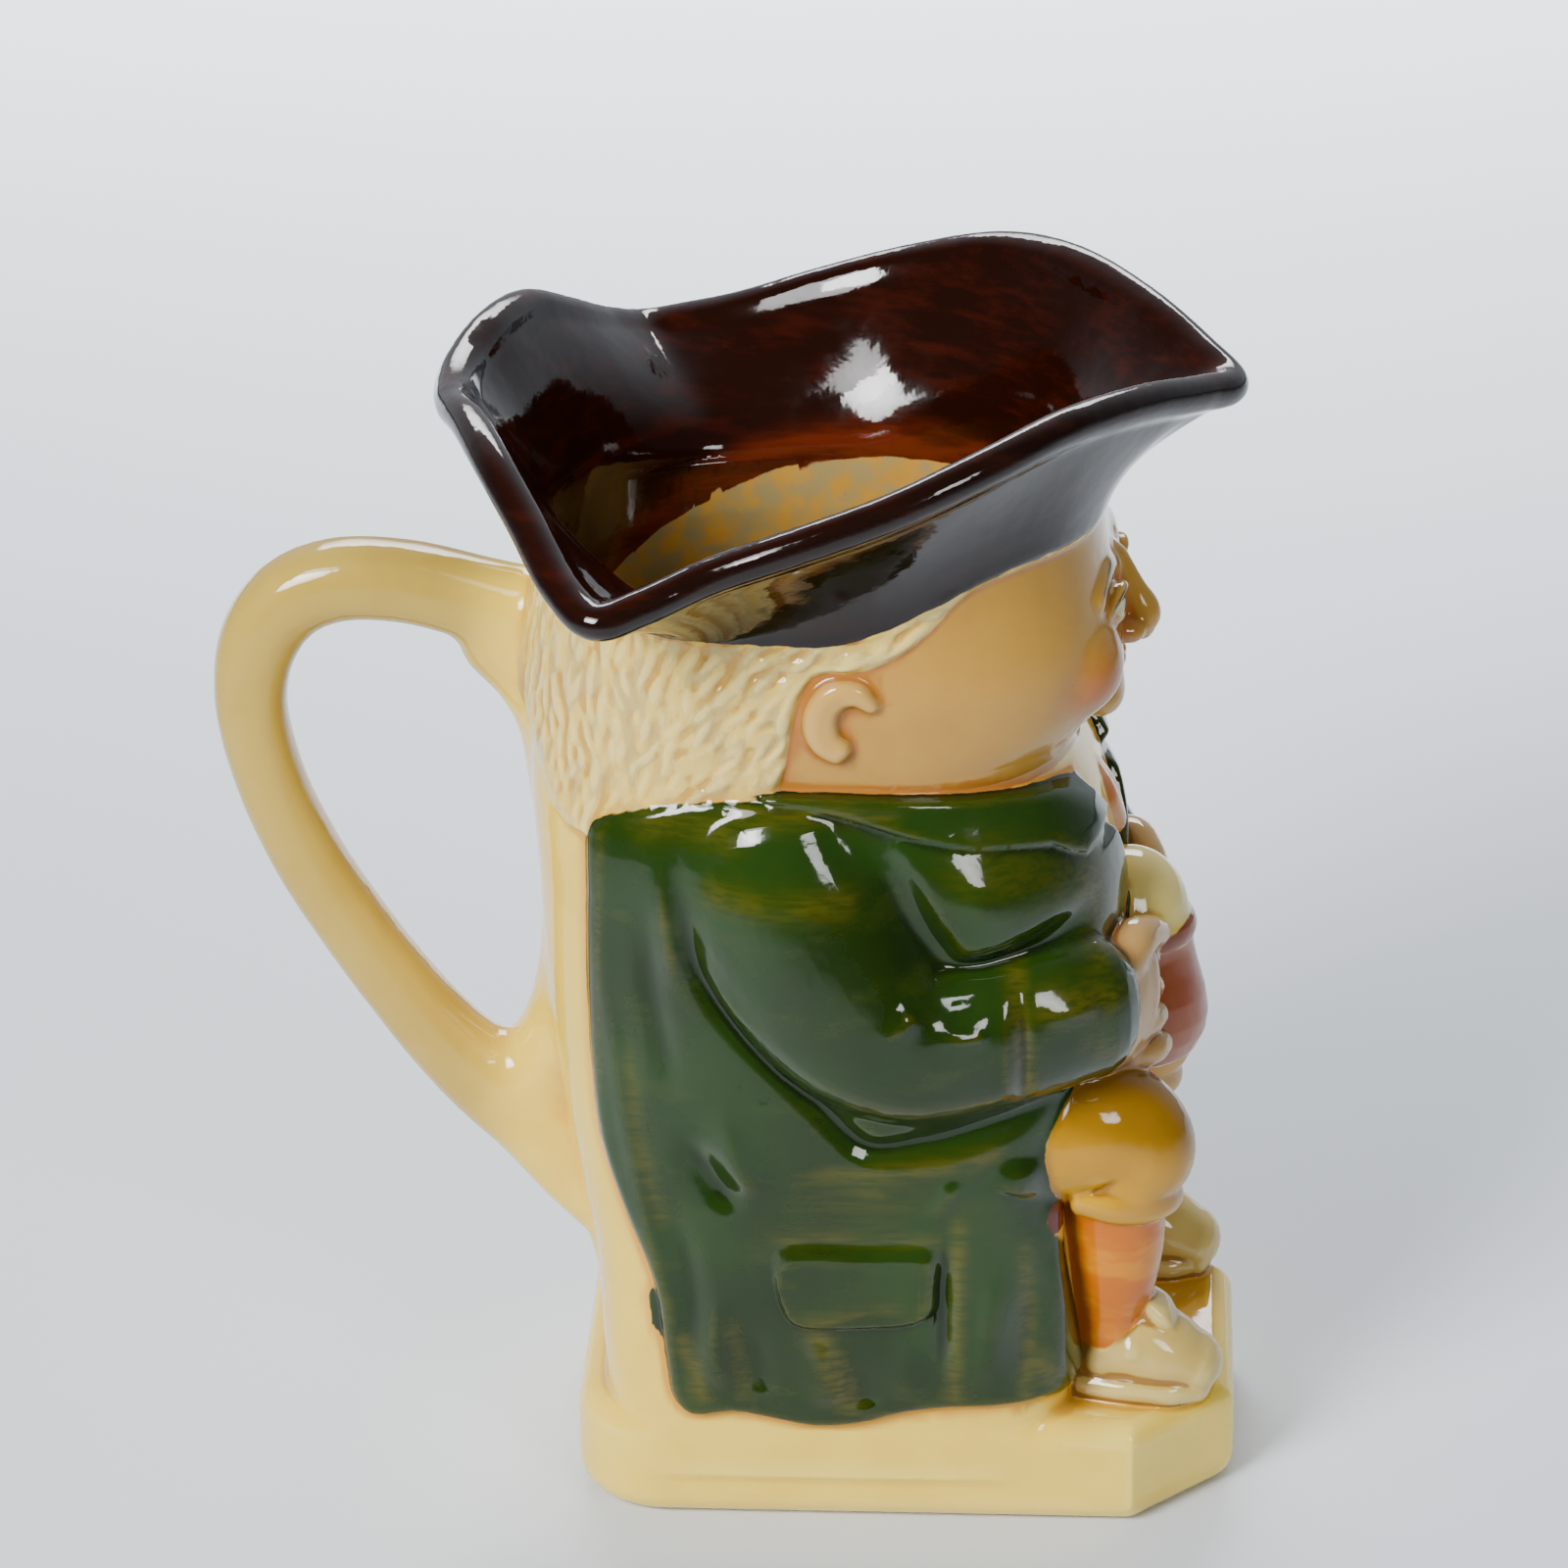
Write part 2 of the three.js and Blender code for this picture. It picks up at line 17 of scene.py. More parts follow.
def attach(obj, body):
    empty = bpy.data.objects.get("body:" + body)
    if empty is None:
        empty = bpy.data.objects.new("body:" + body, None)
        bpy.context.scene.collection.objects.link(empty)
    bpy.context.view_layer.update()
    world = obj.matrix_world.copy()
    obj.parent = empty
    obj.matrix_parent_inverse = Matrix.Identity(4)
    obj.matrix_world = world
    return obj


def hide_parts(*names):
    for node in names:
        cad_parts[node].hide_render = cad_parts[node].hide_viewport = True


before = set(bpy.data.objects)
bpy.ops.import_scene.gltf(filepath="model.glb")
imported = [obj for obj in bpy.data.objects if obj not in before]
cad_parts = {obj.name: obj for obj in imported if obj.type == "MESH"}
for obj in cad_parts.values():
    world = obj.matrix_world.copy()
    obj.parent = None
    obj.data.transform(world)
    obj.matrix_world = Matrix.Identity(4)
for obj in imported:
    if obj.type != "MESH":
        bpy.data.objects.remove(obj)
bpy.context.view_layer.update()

# ---- driving dimensions, in millimetres ----------------------------------------------
MM = 0.001
VOXEL = 0.62
BAND = 8
MOST_TRIANGLES = 190_000
WALL = 4.5
FLOOR = 7.0
LIP_RADIUS, LIP_OUT = 2.55, 0.4
HOLLOW_SOFT, HOLLOW_SOFT_ABOVE = 2.2, 172
COAT_RISE, DEEPEST, HIGHEST = 2.2, 3.6, 2.4
HAT_RISE = 1.6
HAT_LINE_SIDE, HAT_LINE_FRONT_RISE, HAT_FLARE = 171.5, 12.0, 1.45
LEG_X = 23.0
BASE_HALF_WIDTH, BASE_HALF_DEPTH, BASE_CORNER, BASE_HEIGHT, BASE_EDGE = 39.4, 58.3, 16.0, 20.0, 4.5

CHIN_LINE, HEAD_BACK, HEAD_Y = 140.5, 45.0, 14.5

# The barrel of the figure: z, half width, front, back and squareness of the outline.
BODY = np.array([
    [16, 40.0, -29.5, 53, 6.0], [30, 40.5, -30.5, 54, 6.0], [48, 41.0, -29.0, 55, 5.5],
    [62, 41.5, -28.0, 58, 4.5], [80, 43.0, -31.0, 62, 3.4], [98, 44.0, -35.0, 64, 3.0],
    [116, 44.5, -36.0, 65, 2.8], [130, 43.5, -33.0, 66, 2.7], [141, 40.5, -29.0, 66, 2.6],
    [150, 41.5, -34.5, 66, 2.5], [160, 42.5, -36.5, 65, 2.5], [172, 42.0, -34.5, 63, 2.5],
    [186, 41.5, -32.0, 62, 2.5],
])

# The middle of the hat's rolled lip, from the front point round one side to the back.
RIM = [
    (0, -54, 202.5), (9, -49, 204.5), (22, -39.5, 208), (38, -26.5, 209.8), (50, -14, 207.5),
    (57.5, 2, 202), (60, 18, 196.5), (61, 32, 191.5), (65, 43, 187.5), (66.5, 50, 185.6),
    (60, 56, 188.5), (48, 62.5, 195), (36, 69, 201), (22, 74, 202.6), (10, 77.6, 201),
    (0, 78.6, 200.4),
]

# Side outlines as (y, z).
COAT_SIDE = [
    (53.4, 134.5), (54.4, 122), (54.6, 105), (54, 88), (52.6, 75), (48, 61), (43.5, 49), (41.5, 34),
    (40, 25), (37, 22.4), (30, 23.4), (24, 22.4), (16, 20.8), (8, 21.4), (0, 23.8), (-8, 25), (-16, 25.2),
    (-24, 25.8), (-30, 26.2), (-32, 28), (-30.8, 36), (-29, 45), (-27.5, 56), (-29, 68), (-34, 79),
    (-60, 88), (-60, 118), (-34, 126), (-28, 136), (-13, 140.5), (0, 142.2), (12, 142.8), (24, 142),
    (37, 141), (46, 138.4),
]
COLLAR_SIDE = [
    (26, 143), (19, 141.6), (10, 139.6), (0, 136.4), (-12, 133.4), (-25, 131.2), (-31, 127),
    (-34.5, 130), (-28, 137.2), (-22, 139.6), (-12, 141.2), (0, 142.4), (12, 143.2),
]
HAIR_SIDE = [
    (58, 132), (24, 140), (21.6, 144), (20, 150), (19, 157), (15.5, 165.6), (6, 167), (-2, 171.6),
    (-8, 177.6), (-14, 185), (80, 185), (80, 160), (66, 145),
]
COAT_OPENING = [(29, 12), (29, 84), (9, 96), (9, 116), (16, 134), (14, 150), (-14, 150), (-16, 134), (-9, 116),
                (-9, 96), (-29, 84), (-29, 12)]
POCKET = [(21.6, 56.5), (8, 57.6), (-5.8, 56.6), (-6, 50), (-5.4, 45), (-2, 42.8), (9, 41.6), (18.6, 42),
          (21, 45)]


# ---- curves ----------------------------------------------------------------------------
def through(points, count=12, closed=False):
    """A centripetal Catmull-Rom curve through points, with count steps a span."""
    points = np.asarray(points, float)
    if closed:
        ends = np.vstack([points[-1:], points, points[:2]])
    else:
        ends = np.vstack([2 * points[:1] - points[1:2], points, 2 * points[-1:] - points[-2:-1]])
    spans = len(ends) - 3
    steps = np.maximum(np.linalg.norm(np.diff(ends[:, :3], axis=0), axis=1), 1e-6) ** 0.5
    t = np.linspace(0, 1, count, endpoint=False)[:, None]
    parts = []
    for i in range(spans):
        a, b, c, d = ends[i:i + 4]
        before, here, after = steps[i:i + 3]
        leave = ((b - a) / before - (c - a) / (before + here) + (c - b) / here) * here
        arrive = ((c - b) / here - (d - b) / (here + after) + (d - c) / after) * here
        parts.append(b + leave * t + (3 * (c - b) - 2 * leave - arrive) * t**2
                     + (2 * (b - c) + leave + arrive) * t**3)
    if not closed:
        parts.append(points[-1:])
    return np.vstack(parts)


def smoothstep(low, high, value):
    t = np.clip((value - low) / (high - low), 0, 1)
    return t * t * (3 - 2 * t)


def outline_distance(a, b, outline):
    """Signed distance from (a, b) to a closed outline: negative inside."""
    points = np.asarray(outline, float)
    nearest = np.full(np.broadcast(a, b).shape, 1e9)
    inside = np.zeros(nearest.shape, bool)
    for (a0, b0), (a1, b1) in zip(points, np.roll(points, -1, axis=0)):
        da, db = a1 - a0, b1 - b0
        t = np.clip(((a - a0) * da + (b - b0) * db) / (da * da + db * db), 0, 1)
        nearest = np.minimum(nearest, (a - a0 - t * da) ** 2 + (b - b0 - t * db) ** 2)
        crosses = (b0 > b) != (b1 > b)
        inside ^= crosses & (a < a0 + (b - b0) * da / (db if db else 1e-9))
    return np.where(inside, -1, 1) * np.sqrt(nearest)


def nearest(a, b, line):
    """Distance from (a, b) to a polyline, and how far along it the nearest point is."""
    best = np.full(np.broadcast(a, b).shape, 1e9)
    along = np.zeros(best.shape)
    for i in range(len(line) - 1):
        (a0, b0), (a1, b1) = line[i], line[i + 1]
        da, db = a1 - a0, b1 - b0
        t = np.clip(((a - a0) * da + (b - b0) * db) / (da * da + db * db + 1e-9), 0, 1)
        gap = (a - a0 - t * da) ** 2 + (b - b0 - t * db) ** 2
        closer = gap < best
        best = np.where(closer, gap, best)
        along = np.where(closer, (i + t) / (len(line) - 1), along)
    return np.sqrt(best), along


def stroke(a, b, points, width, height, sharp=2.0):
    """A soft ridge (or valley) along a curve, fading at both ends."""
    gap, along = nearest(a, b, through(points, 6))
    fade = smoothstep(0, 0.5, along) * smoothstep(0, 0.3, 1 - along)
    return height * fade * np.exp(-((gap / width) ** sharp))


# ---- fields ------------------------------------------------------------------------------
LOW = np.floor(np.array([-74.0, -62.0, -4.0]) / VOXEL).astype(int)
HIGH = np.array([0, math.ceil(125 / VOXEL), math.ceil(217 / VOXEL)])
FAR = BAND * VOXEL
TRANSFORM = openvdb.createLinearTransform(voxelSize=VOXEL)


class Field:
    """Signed distance in millimetres on a box of the grid, negative inside."""

    def __init__(self, low, values):
        self.low, self.values = np.asarray(low), values

    def slices(self, inner=None):
        inner = inner or self
        start = inner.low - self.low
        return tuple(slice(s, s + n) for s, n in zip(start, inner.values.shape))

    def axes(self):
        """Coordinates of the box as arrays that broadcast over it."""
        shape = self.values.shape
        return [
            ((self.low[k] + np.arange(shape[k])) * VOXEL).reshape([-1 if i == k else 1 for i in range(3)])
            .astype(np.float32) for k in range(3)]

    def at(self, points):
        """Trilinear values at points; FAR outside the box."""
        index = points / VOXEL - self.low
        top = np.array(self.values.shape) - 1
        inside = ((index >= 0) & (index <= top)).all(axis=1)
        index = np.clip(index, 0, top - 1e-4)
        base = np.floor(index).astype(int)
        f = index - base
        total = np.zeros(len(points))
        for corner in np.ndindex(2, 2, 2):
            weight = np.prod(np.where(corner, f, 1 - f), axis=1)
            i, j, k = (np.minimum(base + corner, top)).T
            total += weight * self.values[i, j, k]
        return np.where(inside, total, FAR)


def from_mesh(points, triangles=None, quads=None):
    points = np.asarray(points, np.float32)
    empty = np.zeros((0, 3), np.uint32)
    grid = openvdb.FloatGrid.createLevelSetFromPolygons(
        points, triangles=empty if triangles is None else triangles,
        quads=np.zeros((0, 4), np.uint32) if quads is None else quads,
        transform=TRANSFORM, halfWidth=float(BAND))
    low = np.maximum(np.floor(points.min(axis=0) / VOXEL).astype(int) - BAND, LOW)
    high = np.minimum(np.ceil(points.max(axis=0) / VOXEL).astype(int) + BAND, HIGH)
    values = np.full(high - low + 1, FAR, np.float32)
    grid.copyToArray(values, ijk=tuple(int(v) for v in low))
    return Field(low, values)


def loft(rings, ring_loop=False):
    """A closed solid through rings of points, as an array [ring, side, xyz]."""
    rings = np.asarray(rings)
    count, sides, _ = rings.shape
    index = np.arange(count * sides).reshape(count, sides)
    rows = np.arange(count if ring_loop else count - 1)
    after = (rows + 1) % count
    here, there = index[rows], index[after]
    quads = np.stack([here, np.roll(here, -1, 1), np.roll(there, -1, 1), there], axis=-1)
    points = rings.reshape(-1, 3)
    if ring_loop:
        return from_mesh(points, quads=quads.reshape(-1, 4).astype(np.uint32))
    points = np.vstack([points, rings[0].mean(axis=0), rings[-1].mean(axis=0)])
    fans = []
    for ring, middle in ((index[0], len(points) - 2), (index[-1], len(points) - 1)):
        fans.append(np.stack([ring, np.roll(ring, -1), np.full(sides, middle)], axis=-1))
    return from_mesh(points, np.vstack(fans).astype(np.uint32), quads.reshape(-1, 4).astype(np.uint32))


def limb(stations, facing=(1, 0, 0), square=2.0, sides=48):
    """An oval section swept through stations (x, y, z, wide, thin), with round ends.

    The thin way lies nearest to facing. Stations are given for the +X side, and the
    field is of the -X side.
    """
    line = through(stations, 10)
    tangents = np.gradient(line[:, :3], axis=0)
    tangents /= np.linalg.norm(tangents, axis=1, keepdims=True)
    turns = np.radians([20, 40, 60, 78])
    caps = [(0, -math.cos(a), math.sin(a)) for a in turns]
    caps += [(i, 0.0, 1.0) for i in range(len(line))]
    caps += [(len(line) - 1, math.cos(a), math.sin(a)) for a in turns[::-1]]
    angle = np.linspace(0, 2 * math.pi, sides, endpoint=False)
    c, s = np.cos(angle), np.sin(angle)
    c, s = (np.sign(v) * np.abs(v) ** (2 / square) for v in (c, s))
    rings = []
    for index, push, scale in caps:
        tangent = tangents[index]
        thin_way = np.array(facing, float) - np.dot(facing, tangent) * tangent
        thin_way /= np.linalg.norm(thin_way)
        wide_way = np.cross(tangent, thin_way)
        wide, thin = line[index, 3:5]
        middle = line[index, :3] + tangent * push * min(wide, thin)
        rings.append(middle + scale * (np.outer(c, wide_way) * wide + np.outer(s, thin_way) * thin))
    return loft(np.array(rings) * [-1, 1, 1])


def ball(centre, radii):
    """An ellipsoid; the centre is given for the +X side."""
    x, y, z = centre
    rings = []
    for lean in np.radians(np.linspace(-84, 84, 29)):
        angle = np.linspace(0, 2 * math.pi, 40, endpoint=False)
        ring = np.stack([np.cos(angle) * math.cos(lean), np.sin(angle) * math.cos(lean),
                         np.full(40, math.sin(lean))], axis=1)
        rings.append(ring * radii + [-x, y, z])
    return loft(rings)


def melt(whole, part, blend):
    """Joins part to whole with a fillet."""
    view = whole.values[whole.slices(part)]
    h = np.maximum(blend - np.abs(view - part.values), 0) / blend
    view[...] = np.minimum(view, part.values) - h * h * blend / 4


def carve(whole, part, blend):
    """Cuts part out of whole with a soft edge."""
    view = whole.values[whole.slices(part)]
    h = np.maximum(blend - np.abs(view + part.values), 0) / blend
    view[...] = np.maximum(view, -part.values) + h * h * blend / 4


def both(a, b, blend):
    """What is inside both, with a soft edge."""
    h = np.maximum(blend - np.abs(a - b), 0) / blend
    return np.maximum(a, b) + h * h * blend / 4


# ---- the barrel, the hat and the hollow -----------------------------------------------------
def body_rows(z):
    """Half width, front, back and squareness at each height."""
    z = np.clip(np.atleast_1d(z).astype(float), BODY[0, 0], BODY[-1, 0])
    i = np.clip(np.searchsorted(BODY[:, 0], z, side="left") - 1, 0, len(BODY) - 2)
    a, b = BODY[i], BODY[i + 1]
    before, after = BODY[np.maximum(i - 1, 0)], BODY[np.minimum(i + 2, len(BODY) - 1)]
    span = (b[:, 0] - a[:, 0])[:, None]
    t = ((z - a[:, 0]) / span[:, 0])[:, None]
    slope_a = span * (b - before) / (b[:, :1] - before[:, :1])
    slope_b = span * (after - a) / (after[:, :1] - a[:, :1])
    rows = (a * (1 + 2 * t) * (1 - t) ** 2 + slope_a * t * (1 - t) ** 2
            + b * t * t * (3 - 2 * t) + slope_b * t * t * (t - 1))
    return rows[:, 1:].T


def body_points(direction, z, grow=0.0):
    half, front, back, square = body_rows(z)
    centre = (front + back) / 2
    half_x, half_y = half + grow, (back - front) / 2 + grow
    c, s = np.cos(direction), np.sin(direction)
    reach = (np.abs(c / half_x) ** square + np.abs(s / half_y) ** square) ** (-1 / square)
    return np.stack([reach * c, centre + reach * s, np.broadcast_to(z, reach.shape)], axis=-1)


def body_ring(z, grow=0.0, sides=288):
    return body_points(np.linspace(0, 2 * math.pi, sides, endpoint=False), np.full(sides, float(z)), grow)


def rim_curve():
    half = np.array(RIM, float)
    other = half[-2:0:-1] * [-1, 1, 1]
    return through(np.vstack([half, other]), 12, closed=True)


def hat_line_height(direction):
    return HAT_LINE_SIDE + HAT_LINE_FRONT_RISE * smoothstep(0, 0.8, -np.sin(direction))


def rim_directions(rim):
    _, front, back, _ = body_rows(HAT_LINE_SIDE)
    return np.arctan2(rim[:, 1] - (front + back) / 2, rim[:, 0])


def hat_skin(rises):
    """Rings in the middle of the hat's wall: rise 0 is the hat line, 1 the rim."""
    rim = rim_curve()
    direction = rim_directions(rim)
    foot = body_points(direction, hat_line_height(direction), HAT_RISE - WALL / 2)
    fine = np.linspace(0, 1, 41)[:, None, None]
    flare = fine ** HAT_FLARE
    wall = np.concatenate([foot[:, :2] * (1 - flare) + rim[:, :2] * flare,
                           foot[:, 2:] * (1 - fine) + rim[:, 2:] * fine], axis=-1)
    places = np.asarray(rises) * 40
    low = np.minimum(places.astype(int), 39)
    part = (places - low)[:, None, None]
    return wall[low] * (1 - part) + wall[low + 1] * part


def lip_rings(angles):
    rim = rim_curve()
    along = np.roll(rim, -1, axis=0) - np.roll(rim, 1, axis=0)
    along /= np.linalg.norm(along, axis=1, keepdims=True)
    out = np.stack([along[:, 1], -along[:, 0], 0 * along[:, 0]], axis=1)
    out /= np.linalg.norm(out, axis=1, keepdims=True)
    up = np.cross(out, along)
    rings = []
    for angle in np.radians(angles):
        rings.append(rim + LIP_OUT * out + LIP_RADIUS * (math.cos(angle) * out + math.sin(angle) * up))
    return np.array(rings)


def hat():
    """The hat as a full form, half a wall thicker than its middle surface."""
    rings = hat_skin([0.05, *np.linspace(0.1, 0.97, 18)])
    form = loft(rings)
    form.values -= WALL / 2
    return form


def hollow():
    """The space inside: half a wall inside the middle surface of body and hat."""
    direction = rim_directions(rim_curve())
    rings = []
    for z in [FLOOR - WALL / 2, *np.arange(10, 166, 4)]:
        rings.append(body_points(direction, np.full(len(direction), float(z)), -WALL / 2))
    rings = np.concatenate([np.array(rings), hat_skin(np.linspace(0.06, 1, 20))])
    flare = rings[-1] - rings[-2]
    flare /= np.linalg.norm(flare, axis=1, keepdims=True)
    over = rings[-1] + 7 * flare
    top = np.where([False, False, True], 240.0, over)
    form = loft(np.concatenate([rings, [over, top]]))
    form.values += WALL / 2
    start = int(HOLLOW_SOFT_ABOVE / VOXEL) - form.low[2]
    form.values[:, :, start:] = rounded(form.values[:, :, start:], HOLLOW_SOFT)
    return form


def rounded(values, reach):
    """Averages neighbours until corners are rounded over about reach millimetres."""
    for _ in range(round(2 * (reach / VOXEL) ** 2)):
        for axis in range(3):
            ahead, behind = np.roll(values, -1, axis), np.roll(values, 1, axis)
            ends = [slice(None)] * 3
            for place, other, mirror in ((-1, ahead, -2), (0, behind, 1)):
                ends[axis] = place
                edge = tuple(ends)
                ends[axis] = mirror
                other[edge] = values[tuple(ends)]
            values = (ahead + 2 * values + behind) / 4
    return values


# ---- relief on the two sides ------------------------------------------------------------------
# Each stroke: points as (y, z), width and height. Negative heights are valleys.
COAT_STROKES = [
    ([(32, 141), (36.4, 134.8), (38, 129), (37.2, 120), (35, 112), (30, 103.6), (23, 95.6), (15, 86.6), (6.1, 77.6),
      (-3.2, 78.6), (-14.3, 81.6), (-28, 84.6), (-36, 86)], 2.4, -2.3),
    ([(50.4, 133), (51, 122), (51.6, 110), (50, 95), (48, 80), (44, 58), (40.6, 42), (38.6, 27)], 1.7, 0.8),
    ([(46.6, 132), (44.6, 118), (43, 106), (41, 94), (41, 84)], 2.4, -1.5),
    ([(41.6, 134), (40.6, 120), (38.4, 106)], 2.0, 1.0),
    ([(38.6, 82), (34.4, 72.5), (28, 63)], 3.0, -2.0),
    ([(33, 88), (29, 76), (24.6, 66)], 2.8, 1.5),
    ([(43, 70), (38.6, 58), (36.6, 46), (35.6, 30)], 2.6, -1.4),
    ([(32.4, 50), (33.4, 38), (31, 27)], 2.6, 1.7),
    ([(27, 46), (26, 36), (24, 26)], 3.2, -1.4),
    ([(17, 41), (14, 33), (12, 24)], 3.4, 1.6),
    ([(6, 38), (7, 30), (6, 24)], 3.0, -1.1),
    ([(-1.6, 41), (-0.6, 34), (0.4, 26)], 2.6, 0.8),
    ([(-7.6, 65), (-6.8, 54), (-6.9, 42), (-6.8, 30)], 1.9, -1.5),
    ([(-10.2, 60), (-9.8, 44), (-9.6, 27)], 1.9, 0.9),
    ([(-3.6, 61.5), (-7, 66.5), (-10, 71.5)], 1.8, 0.9),
    ([(-21.8, 74), (-20.4, 70), (-18.6, 66)], 4.0, 1.6),
    ([(-16.8, 54), (-15.4, 42), (-13.4, 28)], 3.0, 1.5),
    ([(-22, 56), (-21.6, 42), (-20.6, 27)], 2.6, -1.3),
    ([(-27.6, 62), (-27.4, 44), (-28, 28)], 2.2, 0.8),
    ([(8, 73), (-4, 76), (-16, 80), (-28, 83)], 2.6, -0.9),
]
# The deep valley between the arm and the chest.
ARM_VALLEY = ([(10, 141), (6.4, 136), (1.4, 128), (-3.6, 118), (-9, 111.4), (-17, 111.6), (-28, 115.6), (-36, 117)],
              3.4, -3.4)
SLEEVE_STROKES = [
    ([(-19.6, 114), (-20.4, 104), (-20.6, 94), (-20, 84)], 1.3, -0.9),
    ([(-16.8, 112), (-17.4, 104), (-17.6, 95), (-17.2, 86)], 1.6, 0.6),
    ([(4.6, 100), (0, 104.6), (-2.6, 107.6)], 2.0, 0.9),
    ([(-4, 103), (-10, 101.4), (-15.6, 102)], 1.7, 0.8),
    ([(-3, 107.4), (-9, 106), (-15, 107)], 1.6, -0.6),
    ([(-23, 103.4), (-34, 104)], 2.2, 0.7),
    ([(38, 126), (36.6, 116), (31, 107.6), (22.6, 98)], 1.6, 0.5),
]


def side_relief(y, z):
    """Folds, pocket flap and swelling of the cloth on the figure's side."""
    relief = stroke(y, z, *ARM_VALLEY, sharp=2.6)
    for points, width, height in COAT_STROKES:
        relief = relief + stroke(y, z, points, width, height)
    flap = outline_distance(y, z, through(POCKET, 5, closed=True))
    soft = 0.8 + 2.4 * smoothstep(51, 57, z)
    relief = relief + 1.3 * smoothstep(0.5, -1, flap / soft)
    chest = np.exp(-(((y + 15) * 0.86 + (z - 124) * 0.5) / 9.5) ** 2
                   - (((z - 124) * 0.86 - (y + 15) * 0.5) / 6.4) ** 2)
    return np.clip(relief + 2.4 * chest, -DEEPEST, HIGHEST)


def sleeve_relief(y, z):
    return sum(stroke(y, z, *one) for one in SLEEVE_STROKES)


# ---- hair ---------------------------------------------------------------------------------------
HAIR_STEP = 0.25
HAIR_LOW, HAIR_HIGH = np.array([-32.0, 134.0]), np.array([110.0, 190.0])
# How the hair lies: run, z, and the lean of a lock's top towards the face in degrees.
HAIR_LIE = np.array([
    [70, 166, 2], [80, 150, 0], [60, 170, 8], [54, 165, 2], [56, 152, -8], [50, 155, -7], [46.5, 160, -7],
    [43, 165.7, 9], [38, 165.8, 17], [30.6, 166.9, 26], [31.9, 158.9, 33], [37.1, 150.5, 36], [40.9, 146, 34],
    [49.6, 143, 4], [26.5, 152.3, 32], [30.9, 144.5, 62], [22.6, 150.4, 42], [18.6, 158.1, 8],
    [22.7, 165.6, 52], [14.7, 165.5, 50], [8.5, 169.8, 60], [17.2, 167.7, 62], [-4, 174, 66], [-20, 180, 70]])


def softened(values, passes):
    """Repeated neighbour averages over a flat map."""
    for _ in range(passes):
        for axis in (0, 1):
            values = (np.roll(values, 1, axis) + 2 * values + np.roll(values, -1, axis)) / 4
    return values


def hair_lean(place):
    gap = ((HAIR_LIE[:, :2] - place) ** 2).sum(axis=1)
    weight = 1 / (gap + 4) ** 1.5
    return (weight * HAIR_LIE[:, 2]).sum() / weight.sum()


def hair_map():
    """Height and tone of combed, tapered locks over (run, z)."""
    rng = np.random.default_rng(7)
    shape = np.ceil((HAIR_HIGH - HAIR_LOW) / HAIR_STEP).astype(int)
    height, tone = np.zeros(shape), np.full(shape, 0.5)
    spots = np.array([(run + 1.2 * (row % 2), z) for row, z in enumerate(np.arange(133, 190, 3.1))
                      for run in np.arange(-30, 106, 2.4)])
    spots += rng.uniform(-1.1, 1.1, spots.shape)
    for place in rng.permutation(spots):
        drift, half_length, half_width = rng.normal(0, 9), rng.uniform(3.2, 5.8), rng.uniform(1.0, 1.75)
        rise, shade = rng.uniform(0.55, 1.05), rng.uniform()
        line = [place]
        for sign in (-1, 1):
            for _ in range(3):
                here = line[0] if sign < 0 else line[-1]
                lean = math.radians(hair_lean(here) + drift)
                step = here + sign * half_length / 3 * np.array([-math.sin(lean), math.cos(lean)])
                line = [step, *line] if sign < 0 else [*line, step]
        line = np.array(line)
        low = np.clip(((line.min(axis=0) - 2 - HAIR_LOW) / HAIR_STEP).astype(int), 0, shape)
        high = np.clip(((line.max(axis=0) + 2 - HAIR_LOW) / HAIR_STEP).astype(int), 0, shape)
        if (high <= low).any():
            continue
        window = tuple(slice(a, b) for a, b in zip(low, high))
        run = HAIR_LOW[0] + HAIR_STEP * np.arange(low[0], high[0])[:, None]
        z = HAIR_LOW[1] + HAIR_STEP * np.arange(low[1], high[1])[None, :]
        gap, along = nearest(run, z, line)
        width = half_width * np.sqrt(np.sin(math.pi * np.clip(along, 0.02, 0.98)))
        bump = rise * np.sqrt(np.maximum(1 - (gap / width) ** 2, 0)) * (0.55 + 0.45 * np.sin(math.pi * along))
        higher = bump > height[window]
        height[window] = np.where(higher, bump, height[window])
        tone[window] = np.where(higher, shade, tone[window])
    return softened(height, 2), softened(tone, 4)


def around_head(hair, x, y, z):
    """Looks a map of the hair up by the way run round the head and the height."""
    turn = np.pi - np.arctan2(y - HEAD_Y, np.minimum(x, -1e-3))
    turn = np.where(turn > np.pi, turn - 2 * np.pi, turn)
    i = np.clip((HEAD_Y + 46.0 * turn - HAIR_LOW[0]) / HAIR_STEP, 0, hair.shape[0] - 1)
    j = np.clip((z - HAIR_LOW[1]) / HAIR_STEP, 0, hair.shape[1] - 1)
    return hair[i.astype(int), j.astype(int)]


